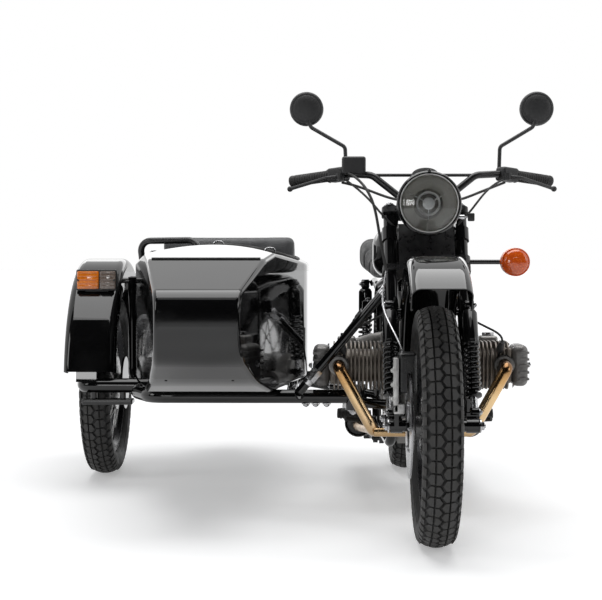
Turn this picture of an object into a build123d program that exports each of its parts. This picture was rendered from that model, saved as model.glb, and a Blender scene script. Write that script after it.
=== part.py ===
from build123d import *
import math
import os

# Sidecar motorcycle with a flat twin engine, a leading-link fork and the sidecar on the rider's right.
# Millimetres. While modelling, x runs to the rider's left from the motorcycle's centre plane,
# y runs to the rear from the front axle and z runs up from the ground.

# Layout
WHEELBASE = 1500
TRACK = 1120
SIDECAR_LEAD = 150
RAKE_DEG = 27
TRAIL = 60
TAIL_Y = 2010

# Fits: a moving shaft, a seat that touches, the air round a moving panel
RUN_CLEARANCE = 0.2
SEAT_GAP = 0.3
PANEL_GAP = 6

# Tyres, wheels and brakes
TYRE_RADIUS = 337
TYRE_HALF = 54
TREAD_HALF = 45
TREAD_DROP = 15
RIM_SEAT_RADIUS = 244
RIM_HALF = 33
RIM_FLANGE = 10
RIM_DEPTH = 14
SPOKE_PAIRS = 9
SPOKE_RADIUS = 2.3
AXLE_RADIUS = 10
HUB_HALF = 60
HUB_FLANGE_X = 37
DRUM_RADIUS = 94
FRONT_FLANGE_RADIUS = 58
DISC_RADIUS = 147
DISC_INNER = 62
DISC_X = 68
DISC_THICK = 5
PAD_GAP = 5

# Front fork, measured in the steering frame: along, ahead of and across the steering axis
LEG_X = 107
LEG_RADIUS = 20
LEG_AHEAD = 10
LEG_TOP = 1072
LEG_KINK = 560
LINK_RADIUS = 15
LINK_PIVOT_Y = 190
LOOP_Y = 374
STEM_RADIUS = 16
HEAD_LOW = 872
HEAD_HIGH = 1038
HEAD_RADIUS = 30
YOKE_HALF = 132
YOKE_THICK = 20
YOKE_AIR = 6
SHOCK_X = 117
SHOCK_FOOT_Y = 45
SHOCK_FOOT_Z = 370
SHOCK_TOP_Y = 205
SHOCK_TOP_Z = 668

# Front mudguard
GUARD_WALL = 3
GUARD_SHOULDER = 28
FRONT_GUARD_RADIUS = 430
FRONT_GUARD_HALF = 82
FRONT_GUARD_SIDE = 72
FRONT_GUARD_Y = -15
FRONT_GUARD_Z = 385
FRONT_GUARD_AHEAD = 37
FRONT_GUARD_BEHIND = 87

# Headlamp, instrument and handlebar
LAMP_Y = 218
LAMP_Z = 967
LAMP_RADIUS = 93
LAMP_DEPTH = 112
LENS_RADIUS = 84
LENS_BULGE = 13
BAR_RADIUS = 11
BAR_Y = 440
BAR_Z = 990
BAR_HALF = 410
GRIP_RADIUS = 17
GRIP_LENGTH = 138
CROSSBAR_RADIUS = 5
MIRROR_RADIUS = 53
SIGNAL_RADIUS = 38

# Frame
TUBE = 16
BACKBONE = 20
FRAME_BOTTOM_Z = 214
SWING_PIVOT_Y = 1115
SWING_PIVOT_Z = 345
PIVOT_RADIUS = 12

# Engine
CRANK_Y = 600
CRANK_Z = 462
CYLINDER_STAGGER = 18
CASE_HALF = 112
CASE_FRONT_Y = 545
CASE_REAR_Y = 800
CASE_TOP_Z = 596
BARREL_RADIUS = 52
BARREL_END = 236
FIN_HALF = 76
FIN_CORNER = 40
FIN_PITCH = 12.5
FIN_THICK = 4.5
HEAD_END = 290
COVER_END = 342
HEADER_RADIUS = 19
HEADER_X = 152
HEADER_Y = 470
HEADER_Z = 262
MUFFLER_X = 190
MUFFLER_RADIUS = 45
MUFFLER_Z = 238
MUFFLER_Y = 900
MUFFLER_LENGTH = 560

# Rear of the motorcycle
REAR_SHOCK_X = 152
REAR_GUARD_RADIUS = 395
REAR_GUARD_HALF = 82
REAR_GUARD_SIDE = 66
PLATE_BACK = 88
PLATE_HOLE_RADIUS = 3.5
PLATE_HOLE_SPACING = 120

# Sidecar
BODY_X = -666
BODY_FLOOR_Z = 389
BODY_NOSE_Y = -10
BODY_HALF = 300
NOSE_HALF = 119
BODY_CROWN_Z = 848
BODY_CROWN_RADIUS = 721
BODY_WALL = 6
BODY_ROUND = 14
COCKPIT_FRONT_Y = 850
COCKPIT_REAR_Y = 1490
COCKPIT_HALF = 260
LID_FRONT_Y = 1550
LID_REAR_Y = 1890
LID_HALF = 225
LID_TAPER = 60
RAIL_RADIUS = 22
RAIL_Z = 364
INNER_RAIL_X = -412
OUTER_RAIL_X = -920
FRONT_RAIL_Y = 560
REAR_RAIL_Y = 1540
BUMPER_Y = 930
SIDE_GUARD_RADIUS = 450
SIDE_GUARD_HALF = 87
SIDE_GUARD_SIDE = 80
SIDE_GUARD_SWEEP = 82
SIDE_SHOCK_X = -1000
STRUT_FOOT = (-386, 500, 384)
REAR_STRUT_FOOT = (-338, 1290, 374)

# Sidecar links: stub root and tip on the motorcycle, stub radius, far end on the sidecar, link and eye radius
LINKS = [
    ((-80, 521, 340), (-214, FRONT_RAIL_Y, 346), 16, (-236, FRONT_RAIL_Y, RAIL_Z), 17, 25),
    ((-120, SWING_PIVOT_Y, 315), (-178, SWING_PIVOT_Y + 10, 325), 15, (INNER_RAIL_X, SWING_PIVOT_Y + 60, RAIL_Z), 16, 24),
    ((-8, 372, 832), (-66, 446, 768), 13, STRUT_FOOT, 14, 17),
    ((-116, SWING_PIVOT_Y + 10, 640), (-150, SWING_PIVOT_Y + 18, 628), 12,
     REAR_STRUT_FOOT, 14, 21),
]

# Centre stand
STAND_Y = 985
STAND_Z = 176
STAND_LENGTH = 200
STAND_X = 108

AXLE_Z = TYRE_RADIUS
REAR_Y = WHEELBASE
SIDE_X = -TRACK
SIDE_Y = WHEELBASE - SIDECAR_LEAD
RAKE = math.radians(RAKE_DEG)
# The part's origin is on the ground, under the middle of its outline.
ORIGIN_X = (BAR_HALF + SIDE_X - SIDE_GUARD_HALF) / 2
ORIGIN_Y = (TAIL_Y - TYRE_RADIUS) / 2

nodes = {}


def add(name, *solids):
    """Files the solids of one node, which may be several like pieces."""
    nodes[name] = [piece for solid in solids for piece in solid.solids()]


def both(solid):
    """The solid and its mirror image across the motorcycle's centre plane."""
    return [solid, mirror(solid, about=Plane.YZ)]


def rod(start, end, radius):
    """Straight round bar between two points."""
    start, end = Vector(*start), Vector(*end)
    return extrude(Plane(start, z_dir=end - start) * Circle(radius), (end - start).length)


def pipe(points, radius, bend):
    """Bent tube: straight runs joined by tangent arcs."""
    path = FilletPolyline(*points, radius=bend)
    return sweep(Plane(path @ 0, z_dir=path % 0) * Circle(radius), path)


def block(low, high, round_edge=0):
    """Box between two corners, with its edges rounded."""
    size = [b - a for a, b in zip(low, high)]
    middle = [(a + b) / 2 for a, b in zip(low, high)]
    solid = Box(*size)
    if round_edge:
        solid = fillet(solid.edges(), round_edge)
    return Pos(*middle) * solid


def outline(points, radii):
    """Closed face with straight edges and rounded corners."""
    return make_face(FilletPolyline(*points, radius=radii, close=True))


def turned(points, axis=Axis.X):
    """Ring or disc turned about x from (x, radius) points."""
    return revolve(make_face(Polyline(*points, close=True)), axis)


def cut(solid, *tools):
    """The solid with each tool's shape taken out."""
    for tool in tools:
        solid = solid - tool
    return solid


def cap_arc(rim, start, height):
    """Arc of a ball's cap about the y axis, from its rim to its middle."""
    way = 1 if height > 0 else -1
    ball = (rim * rim + height * height) / (2 * abs(height))
    centre = start + height - way * ball
    turn = math.atan2(rim, way * (start - centre)) / 2
    middle = (ball * math.sin(turn), centre + way * ball * math.cos(turn))
    return ThreePointArc((rim, start), middle, (0, start + height))


def steer_point(across, behind, along):
    """World point from steering-axis measures: across, behind the axis, along the axis from the ground."""
    y = -TRAIL + behind * math.cos(RAKE) + along * math.sin(RAKE)
    z = -behind * math.sin(RAKE) + along * math.cos(RAKE)
    return (across, y, z)


def steer_block(low, high):
    """Box given in steering-axis measures."""
    frame = Plane(steer_point(0, 0, 0), x_dir=(1, 0, 0), z_dir=(0, math.sin(RAKE), math.cos(RAKE)))
    return frame * block(low, high)


# Wheels

def tyre(centre):
    bead_x = RIM_HALF - 6
    flange_r = RIM_SEAT_RADIUS + RIM_FLANGE + SEAT_GAP
    sidewall_r = (flange_r + TYRE_RADIUS) / 2
    shoulder_r = TYRE_RADIUS - TREAD_DROP
    half = [
        Line((-bead_x, RIM_SEAT_RADIUS + SEAT_GAP), (bead_x, RIM_SEAT_RADIUS + SEAT_GAP)),
        Line((bead_x, RIM_SEAT_RADIUS + SEAT_GAP), (bead_x, flange_r)),
        Line((bead_x, flange_r), (RIM_HALF, flange_r)),
        ThreePointArc((RIM_HALF, flange_r), (TYRE_HALF, sidewall_r), (TREAD_HALF, shoulder_r)),
        ThreePointArc((TREAD_HALF, shoulder_r), (0, TYRE_RADIUS), (-TREAD_HALF, shoulder_r)),
        ThreePointArc((-TREAD_HALF, shoulder_r), (-TYRE_HALF, sidewall_r), (-RIM_HALF, flange_r)),
        Line((-RIM_HALF, flange_r), (-bead_x, flange_r)),
        Line((-bead_x, flange_r), (-bead_x, RIM_SEAT_RADIUS + SEAT_GAP)),
    ]
    return Pos(*centre) * revolve(make_face(half), Axis.X)


def rim():
    flange_r = RIM_SEAT_RADIUS + RIM_FLANGE
    bead_x = RIM_HALF - 6 + SEAT_GAP
    well_r = RIM_SEAT_RADIUS - RIM_DEPTH
    return turned([
        (-RIM_HALF, flange_r), (-bead_x, flange_r), (-bead_x, RIM_SEAT_RADIUS), (bead_x, RIM_SEAT_RADIUS),
        (bead_x, flange_r), (RIM_HALF, flange_r), (RIM_HALF, RIM_SEAT_RADIUS - 4), (RIM_HALF / 2, well_r),
        (-RIM_HALF / 2, well_r), (-RIM_HALF, RIM_SEAT_RADIUS - 4),
    ])


def spokes(flange_radius, lacing_deg):
    """Crossed wire spokes from both hub flanges to the middle of the rim."""
    made = []
    rim_r = RIM_SEAT_RADIUS - RIM_DEPTH / 2
    step = 360 / (2 * SPOKE_PAIRS)
    for side in (-1, 1):
        for i in range(2 * SPOKE_PAIRS):
            lean = 1 if i % 2 else -1
            at_rim = math.radians(i * step + side * step / 4)
            at_hub = at_rim + lean * math.radians(lacing_deg)
            hub_x = side * (HUB_FLANGE_X + lean * SPOKE_RADIUS)
            made.append(rod(
                (hub_x, flange_radius * math.cos(at_hub), flange_radius * math.sin(at_hub)),
                (side * RIM_HALF / 4, rim_r * math.cos(at_rim), rim_r * math.sin(at_rim)),
                SPOKE_RADIUS,
            ))
    return made


def wire_wheel(centre, hub, flange_radius, lacing_deg):
    """Rim, hub and laced spokes as one welded-up wheel."""
    ring = rim()
    return Pos(*centre) * ring.fuse(hub, *spokes(flange_radius, lacing_deg))


def drum_hub():
    bore = AXLE_RADIUS + RUN_CLEARANCE
    lip = DRUM_RADIUS + 5
    a, b = HUB_FLANGE_X - 3, HUB_FLANGE_X + 3
    return turned([
        (-HUB_HALF, bore), (-HUB_HALF, 30), (-b - 4, 38), (-b, lip), (-a, lip), (-a, DRUM_RADIUS),
        (a, DRUM_RADIUS), (a, lip), (b, lip), (b + 4, 38), (HUB_HALF, 30), (HUB_HALF, bore),
    ])


def disc_hub():
    bore = AXLE_RADIUS + RUN_CLEARANCE
    lip = FRONT_FLANGE_RADIUS + 5
    a, b = HUB_FLANGE_X - 3, HUB_FLANGE_X + 3
    seat = DISC_INNER + 14
    return turned([
        (-DISC_X, bore), (-DISC_X, seat), (-DISC_X + 8, seat), (-DISC_X + 14, 38), (-b, 38), (-b, lip),
        (-a, lip), (-a + 5, 34), (a - 5, 34), (a, lip), (b, lip), (b, 38), (HUB_HALF, 28), (HUB_HALF, bore),
    ])


def wheels():
    front, rear, side = (0, 0, AXLE_Z), (0, REAR_Y, AXLE_Z), (SIDE_X, SIDE_Y, AXLE_Z)
    add("front_tyre", tyre(front))
    add("rear_tyre", tyre(rear))
    add("sidecar_tyre", tyre(side))
    add("front_wheel", wire_wheel(front, disc_hub(), FRONT_FLANGE_RADIUS, 40))
    add("rear_wheel", wire_wheel(rear, drum_hub(), DRUM_RADIUS, 22))
    add("sidecar_wheel", wire_wheel(side, drum_hub(), DRUM_RADIUS, 22))
    ring = turned([
        (-DISC_X, DISC_INNER), (-DISC_X, DISC_RADIUS), (-DISC_X - DISC_THICK, DISC_RADIUS),
        (-DISC_X - DISC_THICK, DISC_INNER),
    ])
    add("brake_disc", Pos(*front) * ring)


# Springs and mudguards

def shock(foot, top, radius):
    """Coil spring damper: eyes across x, rod, spring turns and a dust cover over the upper part."""
    foot, top = Vector(*foot), Vector(*top)
    length = (top - foot).length
    frame = Plane(foot, x_dir=(1, 0, 0), z_dir=top - foot)
    eye = radius * 0.6
    wire = radius * 0.2
    cover = 0.34 * length
    spring_low, spring_high = eye + 0.12 * length, length - cover
    turns = max(4, round((spring_high - spring_low) / (wire * 3)))
    pitch = (spring_high - spring_low) / turns
    shaft = Pos(0, 0, length / 2) * Cylinder(radius - 2 * wire + 0.4, length)
    pieces = [Pos(0, 0, spring_low + (i + 0.5) * pitch) * Torus(radius - wire, wire) for i in range(turns)]
    pieces += [Pos(0, 0, z) * Rot(0, 90, 0) * Cylinder(eye, radius * 1.1) for z in (0, length)]
    pieces.append(Pos(0, 0, length - cover / 2 - eye) * Cylinder(radius, cover))
    pieces.append(Pos(0, 0, spring_low - wire) * Cylinder(radius, 2 * wire))
    return frame * shaft.fuse(*pieces)


def mudguard(centre, radius, half, side, ahead_deg, behind_deg):
    """Curved channel with rounded shoulders, swept about x from ahead of the top to behind it."""
    def channel(inset):
        top, low = radius - inset, radius - side - inset
        wide, corner = half - inset, GUARD_SHOULDER - inset
        return outline([(-wide, low), (-wide, top), (wide, top), (wide, low)], [0.5, corner, corner, 0.5])
    skin = channel(0) - channel(GUARD_WALL)
    swept = revolve(Plane.XZ * skin, Axis.X, revolution_arc=ahead_deg + behind_deg)
    return Pos(*centre) * Rot(-behind_deg, 0, 0) * swept


# Steering: everything that turns with the handlebar

def handlebar_path():
    return [
        (0, BAR_Y, BAR_Z), (70, BAR_Y, BAR_Z), (160, BAR_Y + 14, BAR_Z + 72), (245, BAR_Y + 50, BAR_Z + 78),
        (BAR_HALF, BAR_Y + 150, BAR_Z + 60),
    ]


def along_bar(distance):
    """Point on the outer straight of the bar, so far in from its end."""
    inner, outer = Vector(*handlebar_path()[-2]), Vector(*handlebar_path()[-1])
    return outer - (outer - inner).normalized() * distance


def fork():
    kink = steer_point(LEG_X, -LEG_AHEAD, LEG_KINK)
    top = steer_point(LEG_X, -LEG_AHEAD, LEG_TOP)
    pivot = (LEG_X, LINK_PIVOT_Y, AXLE_Z)
    leg = pipe([top, kink, pivot], LEG_RADIUS, 120)
    leg = leg.fuse(rod((LEG_X - 24, *pivot[1:]), (LEG_X + 24, *pivot[1:]), LEG_RADIUS + 4))
    arm_foot = steer_point(SHOCK_X - 6, -LEG_AHEAD, LEG_KINK + 178)
    leg = leg.fuse(rod(arm_foot, (SHOCK_X, SHOCK_TOP_Y, SHOCK_TOP_Z), 13))
    pad = steer_point(LEG_X, -LEG_AHEAD, LEG_KINK + 160)
    leg = leg.fuse(rod((FRONT_GUARD_HALF, pad[1], pad[2]), pad, 11))
    link = pipe(
        [(LEG_X, 0, AXLE_Z), (LEG_X, LOOP_Y, AXLE_Z - 6), (-LEG_X, LOOP_Y, AXLE_Z - 6), (-LEG_X, 0, AXLE_Z)],
        LINK_RADIUS, 60,
    )
    axle = rod((-LEG_X - 20, 0, AXLE_Z), (LEG_X + 20, 0, AXLE_Z), AXLE_RADIUS)
    ends = both(rod((LEG_X - 17, 0, AXLE_Z), (LEG_X + 17, 0, AXLE_Z), LINK_RADIUS + 5))
    spacers = [
        rod((HUB_HALF + 2, 0, AXLE_Z), (LEG_X, 0, AXLE_Z), AXLE_RADIUS + 6),
        rod((-DISC_X - DISC_THICK - 3, 0, AXLE_Z), (-LEG_X, 0, AXLE_Z), AXLE_RADIUS + 6),
    ]
    feet = both(block((LEG_X - 14, SHOCK_FOOT_Y - 13, AXLE_Z), (SHOCK_X + 13, SHOCK_FOOT_Y + 13, SHOCK_FOOT_Z)))
    bracket = block((-LEG_X - 6, -22, AXLE_Z), (-LEG_X + 6, 30, AXLE_Z + DISC_RADIUS + 40))
    shocks = both(shock((SHOCK_X, SHOCK_FOOT_Y, SHOCK_FOOT_Z), (SHOCK_X, SHOCK_TOP_Y, SHOCK_TOP_Z), 24))
    link = cut(link.fuse(axle, *ends, *spacers, *feet, bracket), *shocks)
    legs = [cut(half, *shocks, link) for half in both(leg)]
    add("fork_legs", *legs)
    add("leading_link", link)
    add("front_shocks", *shocks)
    return legs, link


def brake_caliper(link, shocks):
    inner = -DISC_X + 18
    body = block((-LEG_X + 6, -18, AXLE_Z + 92), (inner, 72, AXLE_Z + DISC_RADIUS + 58), 10)
    slot_radius = DISC_RADIUS + PAD_GAP
    slot = Pos(-DISC_X - DISC_THICK / 2, 0, AXLE_Z) * Rot(0, 90, 0) * Cylinder(slot_radius, DISC_THICK + 2 * PAD_GAP)
    add("brake_caliper", cut(body, slot, link, *shocks))


def yokes(legs):
    low, high = HEAD_LOW - YOKE_AIR, HEAD_HIGH + YOKE_AIR
    plate = [(-YOKE_HALF, -40), (YOKE_HALF, -40), (YOKE_HALF, 12), (40, 30), (-40, 30), (-YOKE_HALF, 12)]
    frame = Plane(steer_point(0, 0, 0), x_dir=(1, 0, 0), z_dir=(0, math.sin(RAKE), math.cos(RAKE)))
    face = outline(plate, 18)
    pieces = [frame * Pos(0, 0, low - YOKE_THICK) * extrude(face, YOKE_THICK)]
    pieces.append(frame * Pos(0, 0, high) * extrude(face, YOKE_THICK))
    stem = rod(steer_point(0, 0, low - YOKE_THICK), steer_point(0, 0, high + YOKE_THICK), STEM_RADIUS)
    bar_along = (BAR_Y + TRAIL) * math.sin(RAKE) + BAR_Z * math.cos(RAKE)
    bar_behind = (BAR_Y + TRAIL) * math.cos(RAKE) - BAR_Z * math.sin(RAKE)
    top = high + YOKE_THICK
    for x in (-42, 42):
        pieces.append(steer_block((x - 13, bar_behind - 18, top - 2), (x + 13, bar_behind + 18, bar_along + 17)))
    pieces.append(steer_block((-84, -44, low - YOKE_THICK), (84, -38, HEAD_HIGH - 40)))
    pieces.append(steer_block((-18, -84, top - 12), (18, -30, top)))
    pieces.append(steer_block((-14, -84, top - 2), (14, -56, top + 14)))
    solid = stem.fuse(*pieces)
    add("fork_yokes", cut(solid, handlebar(), *legs))
    gauge = rod(steer_point(0, -70, top + 14), steer_point(0, -70, top + 88), 41)
    add("speedometer", fillet(gauge.edges(), 6))


def handlebar():
    half = pipe(handlebar_path(), BAR_RADIUS, 40)
    bend = Vector(*handlebar_path()[2])
    cross = rod((-bend.X, bend.Y, bend.Z), (bend.X, bend.Y, bend.Z), CROSSBAR_RADIUS)
    return half.fuse(mirror(half, about=Plane.YZ), cross)


def hand_controls(bar):
    grip = rod(along_bar(GRIP_LENGTH), along_bar(-4), GRIP_RADIUS)
    grip = fillet(grip.edges(), 5)
    add("grips", *[cut(piece, bar) for piece in both(grip)])
    add("handlebar", bar)
    middle = along_bar(GRIP_LENGTH + 34)
    frame = Plane(middle, x_dir=(0, 0, 1), z_dir=along_bar(0) - along_bar(10))
    housing = frame * fillet(Box(44, 46, 62).edges(), 9)
    perch = middle + Vector(-4, -44, -8)
    tip = along_bar(0) + Vector(6, -52, -27)
    lever = pipe([perch, perch + Vector(40, -6, -4), tip], 5.5, 30)
    boss = rod(perch - Vector(0, 0, 11), perch + Vector(0, 0, 11), 12)
    lever = lever.fuse(Pos(*tip) * Sphere(9), rod(middle, perch, 10), boss)
    control = housing.fuse(lever)
    tank = block(tuple(middle + Vector(-84, -62, -2)), tuple(middle + Vector(-10, -18, 54)), 8)
    left, right = both(control)
    right = right.fuse(mirror(tank, about=Plane.YZ))
    add("hand_controls", cut(left, bar, nodes["grips"][0]), cut(right, bar, nodes["grips"][1]))
    stem_foot = middle + Vector(-24, 8, 18)
    shoulder, hook = Vector(350, 547, 1218), Vector(358, 553, 1240)
    stem = pipe([stem_foot, stem_foot + Vector(3, 8, 70), shoulder, hook], 6, 18)
    head = Pos(364, 562, 1278) * Rot(90, 0, 0) * fillet(Cylinder(MIRROR_RADIUS, 26).edges(), 9)
    mirrors = both(stem.fuse(head))
    add("mirrors", *[cut(piece, *nodes["hand_controls"]) for piece in mirrors])


def headlamp(legs):
    rear = LAMP_Y + LAMP_DEPTH
    profile = [
        Line((0, LAMP_Y), (LAMP_RADIUS, LAMP_Y)),
        Line((LAMP_RADIUS, LAMP_Y), (LAMP_RADIUS, LAMP_Y + 34)),
        cap_arc(LAMP_RADIUS, LAMP_Y + 34, LAMP_DEPTH - 34),
        Line((0, rear), (0, LAMP_Y)),
    ]
    shell = revolve(make_face(profile), Axis.Y)
    bowl = revolve(make_face([
        Line((0, LAMP_Y), (LENS_RADIUS, LAMP_Y)),
        cap_arc(LENS_RADIUS, LAMP_Y, 60),
        Line((0, LAMP_Y + 60), (0, LAMP_Y)),
    ]), Axis.Y)
    shell = Pos(0, 0, LAMP_Z) * (shell - bowl)
    clamp_y, clamp_z = steer_point(0, -LEG_AHEAD, HEAD_HIGH - 60)[1:]
    ear = extrude(Plane.YZ * outline([
        (LAMP_Y + 40, LAMP_Z - 14), (LAMP_Y + 62, LAMP_Z + 20), (clamp_y + 24, clamp_z + 26),
        (clamp_y + 10, clamp_z - 30), (LAMP_Y + 70, LAMP_Z - 50),
    ], 12), 5)
    ear = Pos(LAMP_RADIUS - 6, 0, 0) * ear
    low, high = steer_point(LEG_X, -LEG_AHEAD, HEAD_HIGH - 82), steer_point(LEG_X, -LEG_AHEAD, HEAD_HIGH - 40)
    ring = rod(low, high, LEG_RADIUS + 5)
    shell = cut(shell.fuse(*both(ear.fuse(ring))), *legs)
    add("headlight_shell", shell)
    inner = LENS_RADIUS - SEAT_GAP
    lens = revolve(make_face([
        Line((0, LAMP_Y + 4), (inner, LAMP_Y + 4)),
        Line((inner, LAMP_Y + 4), (inner, LAMP_Y)),
        cap_arc(inner, LAMP_Y, -LENS_BULGE),
        Line((0, LAMP_Y - LENS_BULGE), (0, LAMP_Y + 4)),
    ]), Axis.Y)
    add("headlight_lens", cut(Pos(0, 0, LAMP_Z) * lens, shell))


def front_signal(legs):
    y, z = steer_point(0, -LEG_AHEAD, HEAD_LOW + 14)[1:]
    stalk = rod((LEG_X, y, z), (LEG_X + 126, y, z), 7)
    ring = rod(steer_point(LEG_X, -LEG_AHEAD, HEAD_LOW), steer_point(LEG_X, -LEG_AHEAD, HEAD_LOW + 28), 26)
    cup = Pos(LEG_X + 158, y - 6, z) * Rot(90, 0, 0) * fillet(Cylinder(SIGNAL_RADIUS + 4, 56).edges(), 12)
    add("front_signal", cut(stalk.fuse(ring, cup), *legs))


def front_mudguard():
    guard = mudguard(
        (0, FRONT_GUARD_Y, FRONT_GUARD_Z), FRONT_GUARD_RADIUS, FRONT_GUARD_HALF, FRONT_GUARD_SIDE,
        FRONT_GUARD_AHEAD, FRONT_GUARD_BEHIND,
    )
    add("front_fender", guard)


def steering():
    legs, link = fork()
    brake_caliper(link, nodes["front_shocks"])
    yokes(legs)
    hand_controls(handlebar())
    headlamp(legs)
    front_signal(legs)
    front_mudguard()


# Motorcycle frame, engine and rear end

def backbone_path():
    return [(0, 392, 868), (0, 640, 790), (0, 950, 742), (0, SWING_PIVOT_Y + 20, 735)]


def bike_frame():
    head = rod(steer_point(0, 0, HEAD_LOW), steer_point(0, 0, HEAD_HIGH), HEAD_RADIUS)
    bore = rod(steer_point(0, 0, HEAD_LOW - 5), steer_point(0, 0, HEAD_HIGH + 5), STEM_RADIUS + RUN_CLEARANCE)
    low, up = FRAME_BOTTOM_Z, SWING_PIVOT_Y
    cradle = pipe([
        (12, 388, 862), (80, 508, 520), (80, 522, 300), (96, 590, low), (120, up - 55, low),
        (120, up, low + 86), (112, up + 5, 704), (70, 900, 742),
    ], TUBE, 45)
    rail = pipe([(112, up + 5, 690), (116, up + 90, 706), (116, REAR_Y - 70, 716)], 13, 60)
    loop = rod((0, REAR_Y - 268, 712), (116, REAR_Y - 268, 708), 11)
    gusset = rod((0, 905, 744), (72, 905, 741), 14)
    perch = rod((70, 555, 250), (112, 555, 250), 12)
    peg_mount = rod((112, 850, low), (150, 850, low + 20), 12)
    stand_lug = block((STAND_X - 8, STAND_Y - 16, STAND_Z - 16), (STAND_X + 8, STAND_Y + 16, low))
    half = cradle.fuse(rail, loop, gusset, perch, peg_mount, stand_lug)
    cross = [
        rod((-120, up, SWING_PIVOT_Z), (120, up, SWING_PIVOT_Z), PIVOT_RADIUS),
        rod((-118, up - 80, low), (118, up - 80, low), 13),
        rod((-80, 521, 330), (80, 521, 330), 13),
        rod((-STAND_X, STAND_Y, STAND_Z), (STAND_X, STAND_Y, STAND_Z), 9),
    ]
    pins = both(rod((STAND_X, STAND_Y, STAND_Z), (STAND_X + 30, STAND_Y, STAND_Z), 8))
    mounts = [rod(root, tip, radius) for root, tip, radius, *link in LINKS]
    arms = both(rod((116, REAR_Y - 110, 714), (REAR_SHOCK_X - 17, REAR_Y - 110, 706), 11))
    spine = pipe(backbone_path(), BACKBONE, 120)
    solid = head.fuse(spine, half, mirror(half, about=Plane.YZ), *cross, *pins, *mounts, *arms)
    return solid - bore


def engine():
    bottom = FRAME_BOTTOM_Z + TUBE + SEAT_GAP
    side = outline([
        (CASE_FRONT_Y + 30, bottom), (CASE_FRONT_Y, bottom + 70), (CASE_FRONT_Y, CASE_TOP_Z - 70),
        (CASE_FRONT_Y + 70, CASE_TOP_Z), (CASE_REAR_Y - 40, CASE_TOP_Z), (CASE_REAR_Y, CASE_TOP_Z - 40),
        (CASE_REAR_Y, bottom),
    ], [30, 50, 50, 50, 25, 25, 20])
    case = extrude(Plane.YZ * side, CASE_HALF, both=True)
    cover = Pos(0, CASE_FRONT_Y, CRANK_Z - 20) * Rot(90, 0, 0) * fillet(Cylinder(88, 36).edges(), 10)
    gearbox = block((-92, CASE_REAR_Y - 20, bottom + 30), (92, 1030, 500), 26)
    airbox = block((-80, CASE_REAR_Y - 30, 480), (80, 985, 690), 24)
    sump = []
    for i in range(6):
        y = CASE_FRONT_Y + 60 + 34 * i
        sump.append(block((-72, y, bottom - 22), (72, y + 8, bottom + 10)))
    return case.fuse(cover, gearbox, airbox, *sump)


def fin_plate(thick, half):
    return extrude(Plane.YZ * RectangleRounded(2 * half, 2 * half, FIN_CORNER), thick)


def cylinder_parts(side):
    """Finned barrel, finned head with its ports, and rocker cover; side is 1 for the left of the motorcycle."""
    y = CRANK_Y + side * CYLINDER_STAGGER
    frame = Pos(0, y, CRANK_Z) if side > 0 else Pos(0, y, CRANK_Z) * Rot(0, 0, 180)
    start = CASE_HALF + SEAT_GAP
    fins = [
        Pos(start + 8 + i * FIN_PITCH, 0, 0) * fin_plate(FIN_THICK, FIN_HALF)
        for i in range(int((BARREL_END - start - 8) / FIN_PITCH))
    ]
    barrel = rod((start, 0, 0), (BARREL_END - SEAT_GAP, 0, 0), BARREL_RADIUS).fuse(*fins)
    head_fins = [
        Pos(BARREL_END + i * FIN_PITCH, 0, 0) * fin_plate(FIN_THICK, FIN_HALF)
        for i in range(int((HEAD_END - BARREL_END - FIN_THICK) / FIN_PITCH) + 1)
    ]
    core = block((BARREL_END, -52, -56), (HEAD_END, 52, 56), 8)
    ports = rod((262, -side * 40, 0), (262, -side * 92, 6), HEADER_RADIUS + 6)
    intake = rod((262, side * 40, 14), (262, side * 84, 30), 24)
    head = core.fuse(*head_fins, ports, intake)
    cover = Pos((HEAD_END + SEAT_GAP + COVER_END) / 2, 0, 0) * fillet(
        Box(COVER_END - HEAD_END - SEAT_GAP, 118, 132).edges(), 20
    )
    rib_x = (HEAD_END + COVER_END) / 2 + 13
    ribs = [Pos(rib_x, 0, z) * Box(COVER_END - HEAD_END - 22, 127, 7) for z in (-42, -21, 0, 21, 42)]
    return [frame * piece for piece in (barrel, head, cover.fuse(*ribs))]


def header_path(side):
    y = CRANK_Y + side * CYLINDER_STAGGER
    return [
        (side * 262, y - 92, CRANK_Z + 6), (side * 262, HEADER_Y - 8, CRANK_Z), (side * HEADER_X, HEADER_Y, HEADER_Z),
        (side * HEADER_X, HEADER_Y + 90, HEADER_Z), (side * MUFFLER_X, MUFFLER_Y - 60, MUFFLER_Z),
        (side * MUFFLER_X, MUFFLER_Y, MUFFLER_Z),
    ]


def muffler(side):
    half = MUFFLER_LENGTH / 2
    can = fillet(Cylinder(MUFFLER_RADIUS, MUFFLER_LENGTH).edges(), 16)
    tail = Pos(0, 0, -half - 30) * Cylinder(20, 80)
    can = can.fuse(tail) - Pos(0, 0, -half - 30) * Cylinder(17, 90)
    return Pos(side * MUFFLER_X, MUFFLER_Y + SEAT_GAP + half, MUFFLER_Z) * Rot(90, 0, 0) * can


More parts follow.
